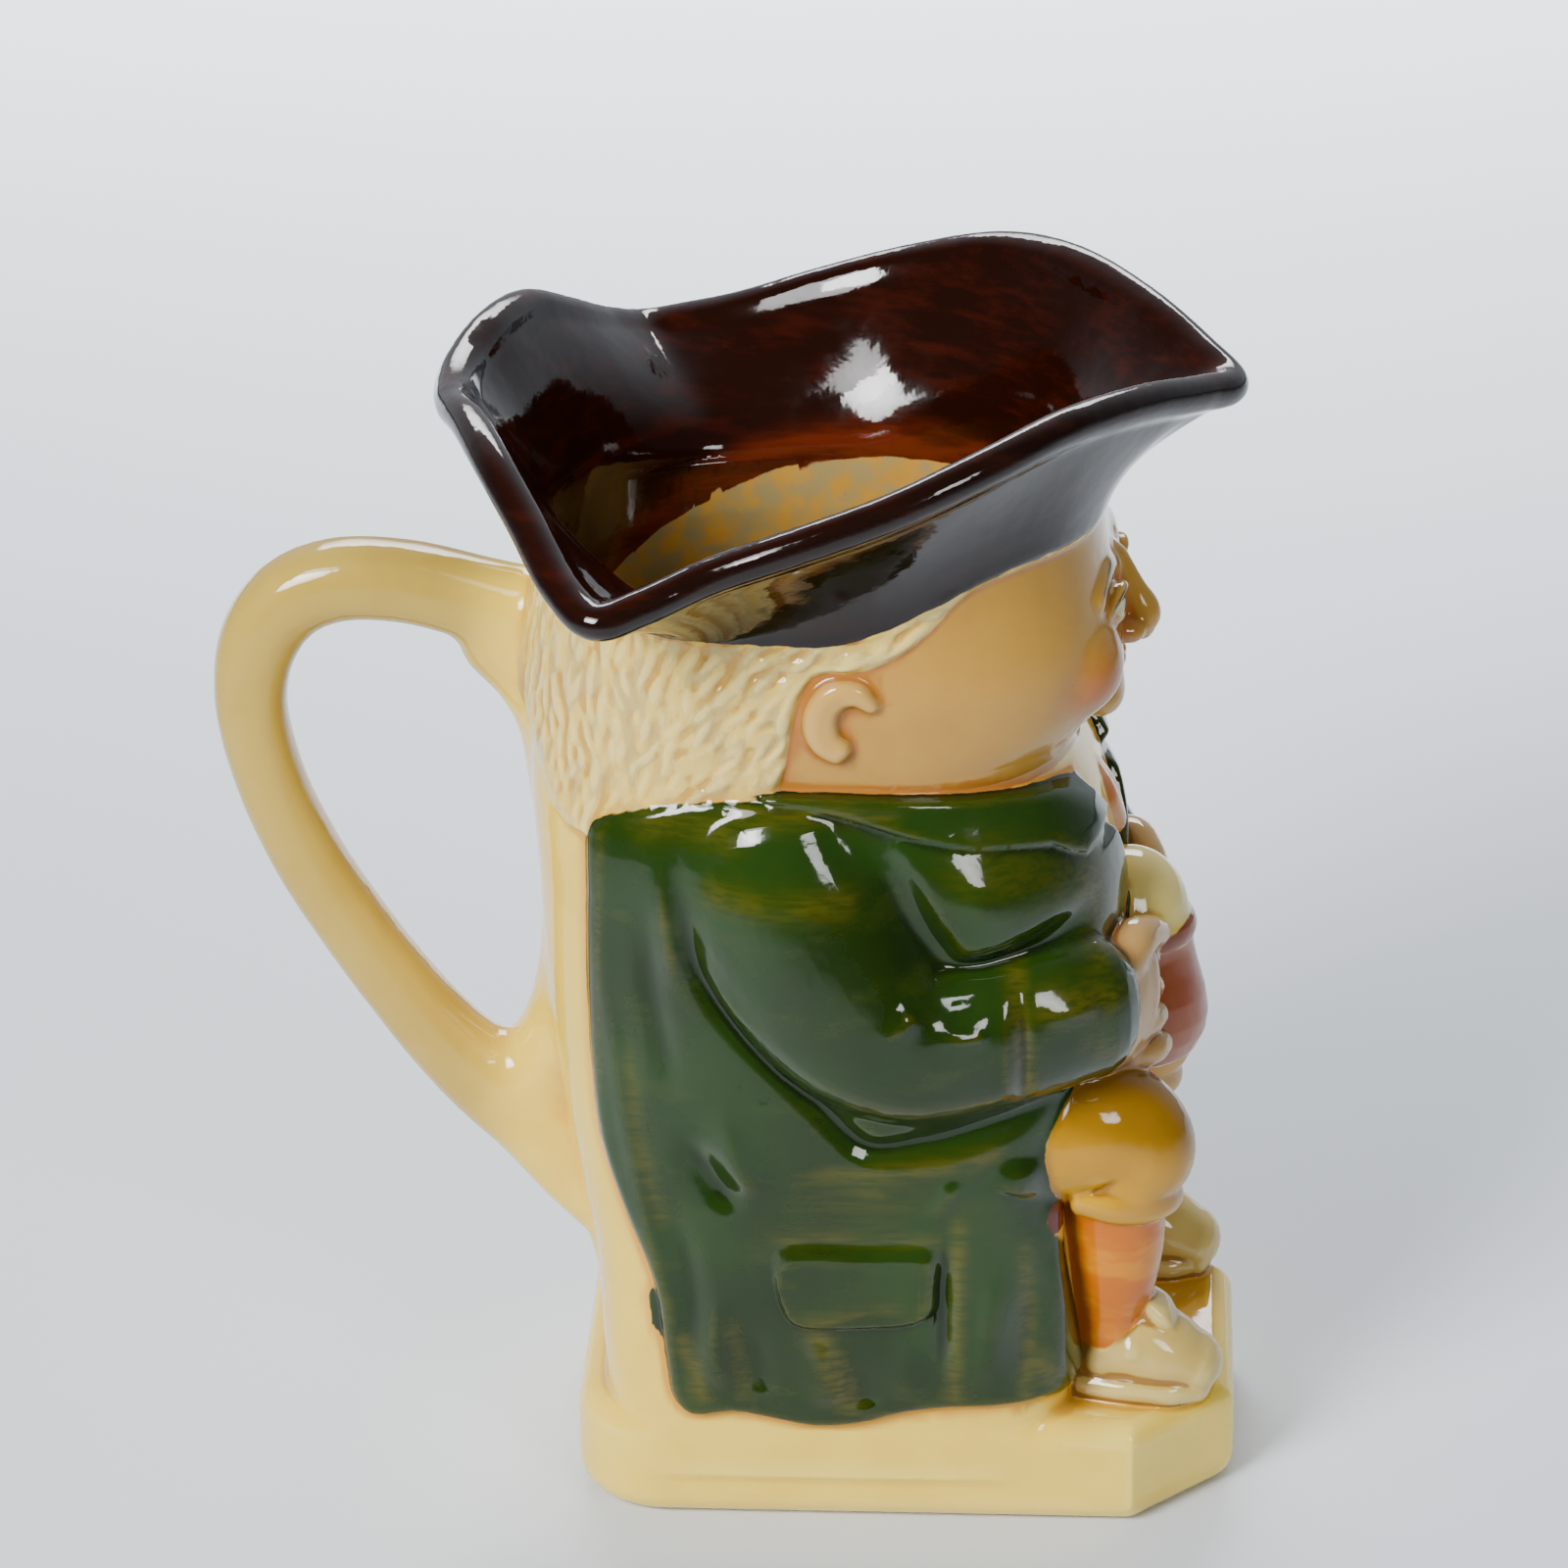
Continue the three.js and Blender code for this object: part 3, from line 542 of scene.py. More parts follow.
# ---- forms ------------------------------------------------------------------------------------
def base_block():
    """The plinth: chamfered corners in front, round ones behind, soft edges."""
    def outline(inset):
        x, y, corner = BASE_HALF_WIDTH - inset, BASE_HALF_DEPTH - inset, BASE_CORNER - inset
        chamfer = corner + 2
        points = [(0, -y), (x - chamfer, -y), (x, chamfer - y)]
        points += [(x - corner + corner * math.cos(a), y - corner + corner * math.sin(a))
                   for a in np.linspace(0, math.pi / 2, 13)]
        points += [(-a, b) for a, b in points[::-1][:-1]]
        points = np.array(points)
        closed = np.vstack([points, points[:1]])
        run = np.r_[0, np.cumsum(np.linalg.norm(np.diff(closed, axis=0), axis=1))]
        places = np.linspace(0, run[-1], 320, endpoint=False)
        return np.stack([np.interp(places, run, closed[:, k]) for k in (0, 1)], axis=1)

    rings = []
    soft = BASE_EDGE + 1
    for a in np.radians(np.linspace(0, 90, 7)):
        inset, z = soft * (1 - math.sin(a)), soft * (1 - math.cos(a))
        rings.append(np.column_stack([outline(inset), np.full(320, z)]))
    for a in np.radians(np.linspace(90, 0, 7)):
        inset, z = BASE_EDGE * (1 - math.sin(a)), BASE_HEIGHT - BASE_EDGE * (1 - math.cos(a))
        rings.append(np.column_stack([outline(inset), np.full(320, z)]))
    return loft(rings)


def handle_stations():
    """The middle of the handle as (y, z) with its depth, and the half width there."""
    return [
        (0, y, z, wide, half) for y, z, wide, half in [
            (57, 153.5, 9.5, 9), (66, 157.4, 8.2, 7.9), (75, 160.4, 7.3, 7.3), (88, 163.6, 7, 7.2),
            (100, 163.6, 7.1, 7.2), (108, 160, 7.2, 7.2), (113.4, 152.5, 7, 7.2),
            (115.4, 141, 6.3, 7.1), (112.6, 126, 6, 7), (106.5, 111, 6.1, 7), (99, 98, 6.2, 7),
            (91, 86, 6.4, 7.1), (83, 75.6, 7, 7.3), (75, 67.6, 8, 7.8), (66, 60.8, 9.6, 8.4),
            (58, 52.5, 10.2, 8.8), (51, 43, 9, 9), (49.5, 33, 6.5, 9)]]


def tankard_rings(top_half):
    outline = [(8.6, 75.4), (10.6, 77), (12.2, 80.4), (12.6, 83.6), (12, 88), (10.6, 93), (9.8, 96.5), (9.6, 99)]
    if top_half:
        outline = [(9.4, 98.4), (10.1, 99.2), (10.3, 100.6), (10, 102), (9, 102.8)]
    angle = np.linspace(0, 2 * math.pi, 64, endpoint=False)
    return [np.stack([r * np.cos(angle), -40 + r * np.sin(angle), np.full(64, z)], axis=1)
            for r, z in outline]


def head_front(x, z):
    half, front, back, square = (float(v[0]) for v in body_rows(z))
    return (front + back) / 2 - (back - front) / 2 * (1 - (x / half) ** square) ** (1 / square)


def build():
    """The whole jug's field for x <= 0 and the distances to its painted zones."""
    shape = HIGH - LOW + 1
    whole = Field(LOW, np.full(shape, FAR, np.float32))
    zones = {}

    def add(part, blend, zone):
        melt(whole, part, blend)
        zones.setdefault(zone, []).append(part)

    barrel = loft([body_ring(z) for z in [10, 13, *np.arange(16, 190, 3), 190]])
    x, y, z = barrel.axes()
    hair_height, hair_tone = hair_map()
    side = (y + 0 * z), (z + 0 * y)
    opening = outline_distance(*(x + 0 * z, z + 0 * x), COAT_OPENING)
    coat_edge = outline_distance(*side, through(COAT_SIDE, 3, closed=True))
    collar_edge = outline_distance(*side, through(COLLAR_SIDE, 2, closed=True))
    hair_edge = outline_distance(*side, through(HAIR_SIDE, 4, closed=True))
    relief = side_relief(*side)
    front_open = np.maximum(opening, y - 5)

    covered = smoothstep(0, 4, -coat_edge) * smoothstep(0, 3, front_open) * smoothstep(-36, -30, y)
    under = barrel.values + 3.2 * covered
    cloth = both(barrel.values - COAT_RISE - relief, coat_edge, 1.8)
    cloth = both(cloth, -front_open, 1.2)
    neck = both(barrel.values - 3.3, collar_edge, 1.3)
    neck = both(neck, -front_open, 1.2)
    locks = around_head(hair_height, x, y, z)
    tresses = both(barrel.values - 0.2 - 1.5 * locks, hair_edge, 1.6)

    add(base_block(), 1.0, "cream")
    add(Field(barrel.low, under), 2.5, "cream")
    add(limb(handle_stations(), facing=(1, 0, 0), square=2.4), 4.6, "cream")
    add(limb([(0, 72, 152, 6, 6.6), (0, 66.6, 146, 6, 7), (0, 62, 138, 6.2, 8), (0, 59.6, 128, 6.2, 8.4),
              (0, 57.4, 117, 6.2, 8.6)]), 4.6, "cream")
    add(limb([(0, 57.4, 100, 6.4, 8.6), (0, 59, 90, 6.6, 8.4), (0, 61.4, 80, 7, 8.2), (0, 65, 72, 7, 8)]), 4.6, "cream")
    add(hat(), 1.6, "hat")
    add(Field(barrel.low, tresses), 0.8, "hair")
    add(Field(barrel.low, cloth), 0.8, "coat")
    add(Field(barrel.low, neck), 0.6, "coat")

    # The arm: a loose sleeve that bends round the elbow to the tankard.
    arm = limb([
        (38.4, 22.6, 133, 13.6, 9.4), (40.2, 20.4, 124, 16.4, 10.6), (40.6, 16, 113, 17.4, 11.8),
        (40.6, 9.5, 103, 16.4, 12.4), (39.8, 0, 97.2, 15.6, 12.2), (37.6, -12, 97.2, 14.4, 11.4),
        (34.6, -23, 98.6, 13.8, 10.6), (31, -31, 99, 13.2, 9.6)], square=2.15)
    ax, ay, az = arm.axes()
    arm.values -= sleeve_relief(ay + 0 * az, az + 0 * ay)
    add(arm, 1.3, "coat")
    add(limb([(29, -30, 97, 12.6, 7.2), (24.5, -35, 96, 12.4, 6.4), (20, -38.6, 94.6, 11.6, 5.2)],
             facing=(0.7, -1, 0)), 1.2, "hand")
    for finger in range(4):
        top, lead = 101.6 - 5.5 * finger, 0.8 * finger
        add(limb([
            (23, -36.5, top + 0.4, 2.9, 2.9), (19.4, -39.6 - lead, top, 3.0, 3.0),
            (15.8, -41.2 - lead, top - 0.6, 2.7, 2.7)]), 0.7, "hand")
    add(limb([(26, -34.6, 102.6, 5, 5), (21, -38.6, 106.2, 4.4, 4.4), (16.6, -41, 106, 3.4, 3.4),
              (13, -42.6, 104.6, 2.9, 2.9)]), 0.9, "hand")
    add(loft(tankard_rings(False)), 0.5, "tankard")
    add(loft(tankard_rings(True)), 0.5, "rim")
    add(ball((0, -38.4, 102.6), (11.4, 10.4, 11.6)), 1.6, "foam")

    # Legs and shoes, against a plain cream ground.
    add(limb([(32.4, -23, 60, 4.4, 4), (32.6, -23, 45, 4.4, 4), (33.4, -24, 28, 4.8, 4.4)]), 1.5, "cream")
    add(limb([
        (22, -10, 69, 12.5, 15), (22.6, -24, 71.4, 13.3, 14), (23, -33, 71.4, 13.4, 12.6),
        (23, -38.4, 67.6, 12.4, 11), (23, -38, 62.5, 10.2, 10.4)]), 1.6, "breeches")
    add(limb([(LEG_X + 9.4, -30.4, 61.4, 1.5, 2.4), (LEG_X + 9.8, -37, 60, 1.5, 2.4),
              (LEG_X + 5.6, -44.8, 59, 1.5, 2.3), (LEG_X, -47.2, 58.6, 1.4, 2.2),
              (LEG_X - 6, -44.6, 58.8, 1.4, 2.2), (LEG_X - 9.4, -36.4, 59.6, 1.4, 2.2)],
             facing=(0, 0, 1)), 1.2, "breeches")
    add(limb([
        (LEG_X, -35.6, 62, 8.6, 8.8), (LEG_X, -36.6, 53, 8.9, 8.9), (LEG_X, -36.6, 44, 8, 8.2),
        (LEG_X, -36.2, 35, 6.4, 6.6), (LEG_X, -36, 26, 6, 6)]), 0.9, "stocking")
    shoe = limb([
        (LEG_X, -35.6, 27.5, 6.6, 6.8), (LEG_X, -40.4, 28.4, 8.4, 7.8), (LEG_X, -45.6, 27, 7.6, 8.2),
        (LEG_X, -50.6, 25, 5.6, 7.4)])
    shoe.values[...] = both(shoe.values, 19.0 - shoe.axes()[2], 0.8)
    add(shoe, 0.7, "shoe")
    add(limb([(LEG_X, -31, 22.4, 6.4, 3.2), (LEG_X, -40, 22.4, 8.6, 3.4), (LEG_X, -47, 22.2, 8.9, 3.3),
              (LEG_X, -51.6, 22, 7, 3)], facing=(0, 0, 1), square=2.6), 0.5, "shoe")
    add(limb([(LEG_X - 7, -40, 30, 1.5, 1.2), (LEG_X, -42.2, 37.6, 1.8, 1.4), (LEG_X + 7, -40, 30, 1.5, 1.2)]),
        0.6, "shoe")
    add(limb([(LEG_X, -42.8, 37.4, 4.4, 1.7), (LEG_X, -45.2, 35, 5, 2.0), (LEG_X, -47, 31.8, 4.2, 1.5)],
             facing=(0, -0.8, 0.6), square=3), 0.7, "shoe")

    # The ear, open to the front.
    add(limb([
        (42.6, 5.6, 160.6, 1.3, 1.6), (42.7, 8, 162.6, 2.1, 2.0), (42.6, 11, 162.6, 2.6, 2.2),
        (42.4, 13.4, 160.4, 2.8, 2.3), (42.3, 14.2, 157, 2.9, 2.3), (42.3, 13.2, 153.8, 2.8, 2.2),
        (42.4, 11.2, 152, 2.4, 2.0)], square=2.6), 1.4, "ear")

    # The neckcloth, twisted down the middle of the chest.
    add(limb([(-1, -29.5, 132, 4.4, 2.2), (1.4, -33.4, 126, 3.4, 2.4), (0, -35.6, 120.5, 3.4, 2.0)], facing=(0, -1, 0.4)), 0.8, "cravat")

    # The face: calm, in plain thirds from hat line to chin.
    carve(whole, ball((10.6, head_front(10.6, 166) - 4.2, 166.4), (6.6, 5.2, 4.4)), 3.0)
    add(ball((10.6, head_front(10.6, 166) + 2.4, 166), (4.8, 4.2, 4.0)), 0.5, "eye")
    for low, proud in ((0.0, 1.0), (1.0, 0.7)):
        lid = []
        for t in np.linspace(-1, 1, 9):
            lift = (2.7 if low == 0 else -2.2) * (1 - t * t) + (0.2 if low == 0 else 0)
            x0 = 10.6 + 5.4 * t
            depth = 1.4 * (1 - t * t)
            lid.append((x0, head_front(x0, 166) + 0.3 - depth, 166 + lift, 0.95 * proud, 0.95 * proud))
        add(limb(lid, facing=(0, 1, 0)), 0.7, "face")
    brow = [(x0, head_front(x0, h) + 0.6, h, 1.5, 1.3)
            for x0, h in ((4.5, 170.4), (8, 171.8), (12, 172.3), (16, 171.2), (18.5, 169.6))]
    add(limb(brow, facing=(0, 1, 0)), 2.4, "face")
    add(limb([(0, -34.6, 170, 2.2, 2.6), (0, -37.4, 164, 2.4, 3.0), (0, -39.6, 159.6, 3.4, 3.4),
              (0, -39.4, 157.4, 3.2, 2.6)], facing=(0, 1, 0)), 2.4, "face")
    add(ball((3.9, -37.4, 157.8), (2.3, 2.8, 2.1)), 1.4, "face")
    upper = [(x0, head_front(x0, 151) - d, h, 1.2, 1.2)
             for x0, d, h in ((0, 0.9, 151.6), (2, 1.1, 152.1), (5, 0.5, 151.6), (8, -0.5, 150.9))]
    add(limb([(-u[0], *u[1:]) for u in upper[:0:-1]] + upper, facing=(0, 1, 0)), 0.9, "face")
    lower = [(x0, head_front(x0, 149) - d, h, 1.4, 1.3)
             for x0, d, h in ((0, 0.9, 149.1), (3, 0.6, 149.3), (6, -0.3, 150))]
    add(limb([(-u[0], *u[1:]) for u in lower[:0:-1]] + lower, facing=(0, 1, 0)), 0.9, "face")
    add(ball((0, -32.6, 145.2), (7.5, 4.4, 4.2)), 3.0, "face")
    add(ball((17, head_front(17, 157) + 4.2, 157), (8.5, 6.5, 7)), 4.0, "face")

    space = hollow()
    carve(whole, space, 0.8)
    lip = lip_rings(np.arange(0, 360, 22.5))
    add(loft(lip, ring_loop=True), 3.5, "hat")
    zones["hollow"] = [space]
    return whole, zones, hair_tone


def mirrored(field):
    return np.concatenate([field.values, field.values[-2::-1]], axis=0)


def surface(whole):
    """Points and quads of the zero surface of the mirrored field."""
    full = np.ascontiguousarray(mirrored(whole), np.float32)
    grid = openvdb.FloatGrid(FAR)
    grid.copyFromArray(full, tolerance=0)
    points, _, quads = grid.convertToPolygons(isovalue=0.0, adaptivity=0.0)
    return (points + whole.low) * VOXEL, quads


def normals_at(whole, points):
    """Unit gradients of the field, on the built side and mirrored."""
    side = np.where(points[:, :1] > 0, -1.0, 1.0)
    near = points * np.hstack([side, np.ones((len(points), 2))])
    step = 0.6 * VOXEL
    slope = []
    for axis in range(3):
        shift = np.zeros(3)
        shift[axis] = step
        ahead = near + shift
        ahead[:, 0] = -np.abs(ahead[:, 0])
        slope.append(whole.at(ahead) - whole.at(near - shift))
    slope = np.stack(slope, axis=1) * np.hstack([side, np.ones((len(points), 2))])
    return slope / np.maximum(np.linalg.norm(slope, axis=1, keepdims=True), 1e-9)


def mesh_of(name, points, faces):
    mesh = bpy.data.meshes.new(name)
    mesh.vertices.add(len(points))
    mesh.vertices.foreach_set("co", np.ascontiguousarray(points, np.float32).ravel())
    mesh.loops.add(faces.size)
    mesh.loops.foreach_set("vertex_index", np.ascontiguousarray(faces, np.int32).ravel())
    mesh.polygons.add(len(faces))
    mesh.polygons.foreach_set("loop_start", np.arange(0, faces.size, faces.shape[1], dtype=np.int32))
    mesh.update(calc_edges=True)
    return mesh


def thinned(mesh, triangles):
    """A copy with about that many triangles, keeping the most where it curves."""
    helper = bpy.data.objects.new("thinned", mesh)
    bpy.context.scene.collection.objects.link(helper)
    modifier = helper.modifiers.new("thin", "DECIMATE")
    modifier.ratio = min(1.0, triangles / (2 * len(mesh.polygons)))
    modifier.use_collapse_triangulate = True
    result = bpy.data.meshes.new_from_object(helper.evaluated_get(bpy.context.evaluated_depsgraph_get()))
    bpy.data.objects.remove(helper)
    return result


def points_of(mesh):
    points = np.empty(3 * len(mesh.vertices), np.float32)
    mesh.vertices.foreach_get("co", points)
    return points.reshape(-1, 3).astype(float)


# ---- paint ------------------------------------------------------------------------------------
INSIDE_LINE = [(-40, 172), (-11, 171), (-4, 172), (7, 172), (15, 171), (24, 170), (34, 166),
               (45, 161), (55, 154), (80, 146)]
# Dry brushing on the coat: points as (y, z), width and strength.
DRY_STROKES = [
    ([(27, 140.4), (13, 140.8), (3, 139.6)], 2.2, 0.8), ([(44, 137), (37, 137.6), (30, 137)], 3.0, 0.7),
    ([(32, 127), (24, 126.4), (10, 126.6)], 2.6, 0.75), ([(-19, 112), (-20, 102), (-21.4, 90)], 1.8, 1.0),
    ([(-25, 105.4), (-30, 105), (-35, 104.6)], 3.2, 0.9), ([(-33, 97), (-36.4, 92.6)], 2.6, 0.6),
    ([(-31, 123), (-33.4, 118), (-34, 112)], 3.6, 0.9), ([(-12, 131), (-20, 128), (-27, 124)], 5.0, 0.55),
    ([(14, 72), (-3, 73.4), (-16, 75.6)], 1.8, 0.8), ([(14, 68), (2, 67)], 4.0, 0.4),
    ([(38.4, 38), (36.4, 32), (35.6, 27)], 1.6, 0.95), ([(30, 41), (28.6, 34), (27.6, 27)], 1.6, 0.5),
    ([(15.4, 42), (12.4, 34), (9.2, 26)], 2.4, 1.0), ([(-9.6, 62), (-9.4, 46), (-9, 27)], 1.5, 0.85),
    ([(-21.2, 56), (-21.6, 42), (-21.8, 27)], 1.5, 0.8), ([(-24, 33), (-27.4, 29)], 3.0, 0.8),
    ([(52, 134), (52.8, 110), (52.8, 84)], 0.9, 0.5),
    ([(8.6, 88), (-4, 86.6), (-18, 86.6)], 1.6, 0.5), ([(12, 46.6), (-1, 46)], 2.0, 0.45),
    ([(24, 59), (6, 59.6), (-6, 58.6)], 1.5, 0.6), ([(47, 93), (46, 78), (42, 62)], 1.6, 0.55),
]
MAROON_PATCH = [(-24.4, 70), (-30, 69.4), (-32.6, 60), (-31, 58.6), (-25, 56)]
BRUSH_SLIP = [(42.6, 45), (43.8, 47.4), (44.6, 46.8), (44.8, 41), (43.4, 37.4), (41.8, 37)]


def near_side(points):
    """The points folded onto the built side."""
    return np.column_stack([-np.abs(points[:, 0]), points[:, 1:]])


def paint_masks(zones, hair_tone, points):
    """Signed millimetres into each painted zone, by name, for every point."""
    near = near_side(points)
    x, y, z = near.T
    reach = {name: np.min([part.at(near) for part in parts], axis=0) for name, parts in zones.items()}
    inner = 2.0 - np.abs(reach.pop("hollow"))
    outside = inner < 0
    masks = {}
    for name, value in reach.items():
        rest = np.min([v for other, v in reach.items() if other != name], axis=0)
        masks[name] = np.where(outside, np.clip(rest - value, -3, 3), -3.0)
    direction = np.arctan2(y - HEAD_Y, x)
    inner_line = np.interp(y, *np.array(INSIDE_LINE).T)
    brown = np.where(outside, z - hat_line_height(direction), z - inner_line)
    masks["hat"] = np.clip(np.maximum(brown, 3.5 - points_to_lip(near)), -3, 3)
    skin = np.minimum(z - CHIN_LINE, HEAD_BACK - y) * (masks["cream"] > 0)
    masks["face"] = np.clip(np.maximum(masks["face"], np.minimum(skin, 3)), -3, 3)
    masks["inside"] = np.clip(inner, -3, 3)
    masks["rust"] = smoothstep(10, 3, z - inner_line) * smoothstep(-30, -5, y) * ~outside

    masks["lock"] = around_head(hair_tone, x, y, z)
    masks["blush"] = np.clip(1 - np.linalg.norm([y + 33, z - 155.5], axis=0) / 11, 0, 1)
    # The cream is painted darker towards +Y, over the handle and the back of the jug: it starts at y 64 and is full
    # from y 84.
    masks["handle"] = smoothstep(64, 84, y)
    slip = -outline_distance(y, z, BRUSH_SLIP)
    masks["coat"] = np.where(x < -30, np.maximum(masks["coat"], np.clip(slip, -3, 3)), masks["coat"])
    patch = -outline_distance(y, z, MAROON_PATCH)
    masks["maroon"] = np.where((x < -29) & (masks["breeches"] < 0), np.clip(patch, -3, 3), -3.0)
    masks["hem"] = smoothstep(3, 0, np.abs(z - 60)) * (masks["breeches"] > 0)
    masks["knee_top"] = smoothstep(68, 80, z - 0.35 * (y + 36))
    dry = np.zeros(len(points))
    chosen = masks["coat"] > -0.5
    for stretch, width, strength in DRY_STROKES:
        gap, _ = nearest(y[chosen], z[chosen], through(stretch, 3))
        dry[chosen] = np.maximum(dry[chosen], strength * np.exp(-((gap / width) ** 2)))
    masks["dry"] = dry

    # Fine lines on the face, in the usual places.
    def line(rows):
        rows = np.array(rows, float) * [-1, 1]
        gap, _ = nearest(x, z, through(rows, 4))
        return np.where((y < -8) & (masks["face"] > 0) | (masks["eye"] > 0), gap, 9.0)

    masks["brow"] = 0.75 - line([(4.6, 171.2), (8, 172.8), (12.4, 173.2), (18, 170.6)])
    lash = line([(5.6, 166.4), (8, 168.2), (10.8, 168.9), (14, 168), (16, 166)])
    iris = 2.1 - np.hypot(x + 10.4, z - 166.3)
    masks["ink"] = np.maximum(0.45 - lash, np.where(masks["eye"] > 0, iris, -3.0))
    lips = 1.7 - np.hypot(np.maximum(np.abs(x) - 5.4, 0), (z - 150.3) * 0.8)
    masks["lips"] = np.where((y < -28) & (np.abs(x) < 9), lips, -3.0)
    return masks


def points_to_lip(near):
    rim = through(np.array(RIM, float) * [-1, 1, 1], 12)
    best = np.full(len(near), 1e9)
    high = near[:, 2] > 175
    chosen = near[high]
    low = np.full(len(chosen), 1e9)
    for p in rim:
        low = np.minimum(low, ((chosen - p) ** 2).sum(axis=1))
    best[high] = low
    return np.sqrt(best)


def hollowness(whole, points, reach):
    """Positive in recesses and negative on ridges, at the scale of reach millimetres."""
    near = near_side(points)
    total = -6 * whole.at(near)
    for axis in range(3):
        for sign in (-1, 1):
            moved = near.copy()
            moved[:, axis] += sign * reach
            total += whole.at(near_side(moved))
    return -total / reach


# ---- glaze and paint ----------------------------------------------------------------------------
def linear(red, green, blue):
    """A colour picked as 0-255 values, for the shader."""
    def one(v):
        v /= 255
        return v / 12.92 if v <= 0.04045 else ((v + 0.055) / 1.055) ** 2.4
    return (one(red), one(green), one(blue), 1.0)


class Nodes:
    """A short way to lay out a node tree."""

    def __init__(self, tree):
        self.tree = tree

    def add(self, kind, inputs=None, output=0, **settings):
        node = self.tree.nodes.new("ShaderNode" + kind)
        for key, value in settings.items():
            setattr(node, key, value)
        for key, value in (inputs or {}).items():
            if isinstance(value, bpy.types.NodeSocket):
                self.tree.links.new(value, node.inputs[key])
            else:
                node.inputs[key].default_value = value
        return node.outputs[output]

    def math(self, operation, a, b=0.0, clamp=False):
        return self.add("Math", {0: a, 1: b}, operation=operation, use_clamp=clamp)

    def mask(self, value, low, high, to_low=0.0, to_high=1.0):
        return self.add("MapRange", {0: value, 1: low, 2: high, 3: to_low, 4: to_high},
                        interpolation_type="SMOOTHSTEP")

    def mix(self, factor, a, b, blend="MIX"):
        return self.add("Mix", {0: factor, 6: a, 7: b}, output=2, data_type="RGBA", blend_type=blend)

    def attribute(self, name):
        return self.add("Attribute", output=2, attribute_name=name)

    def noise(self, place, scale, detail=3.0, rough=0.55, stretch=None):
        if stretch:
            place = self.add("Mapping", {"Vector": place, "Scale": stretch})
        return self.add("TexNoise", {"Vector": place, "Scale": scale, "Detail": detail, "Roughness": rough})


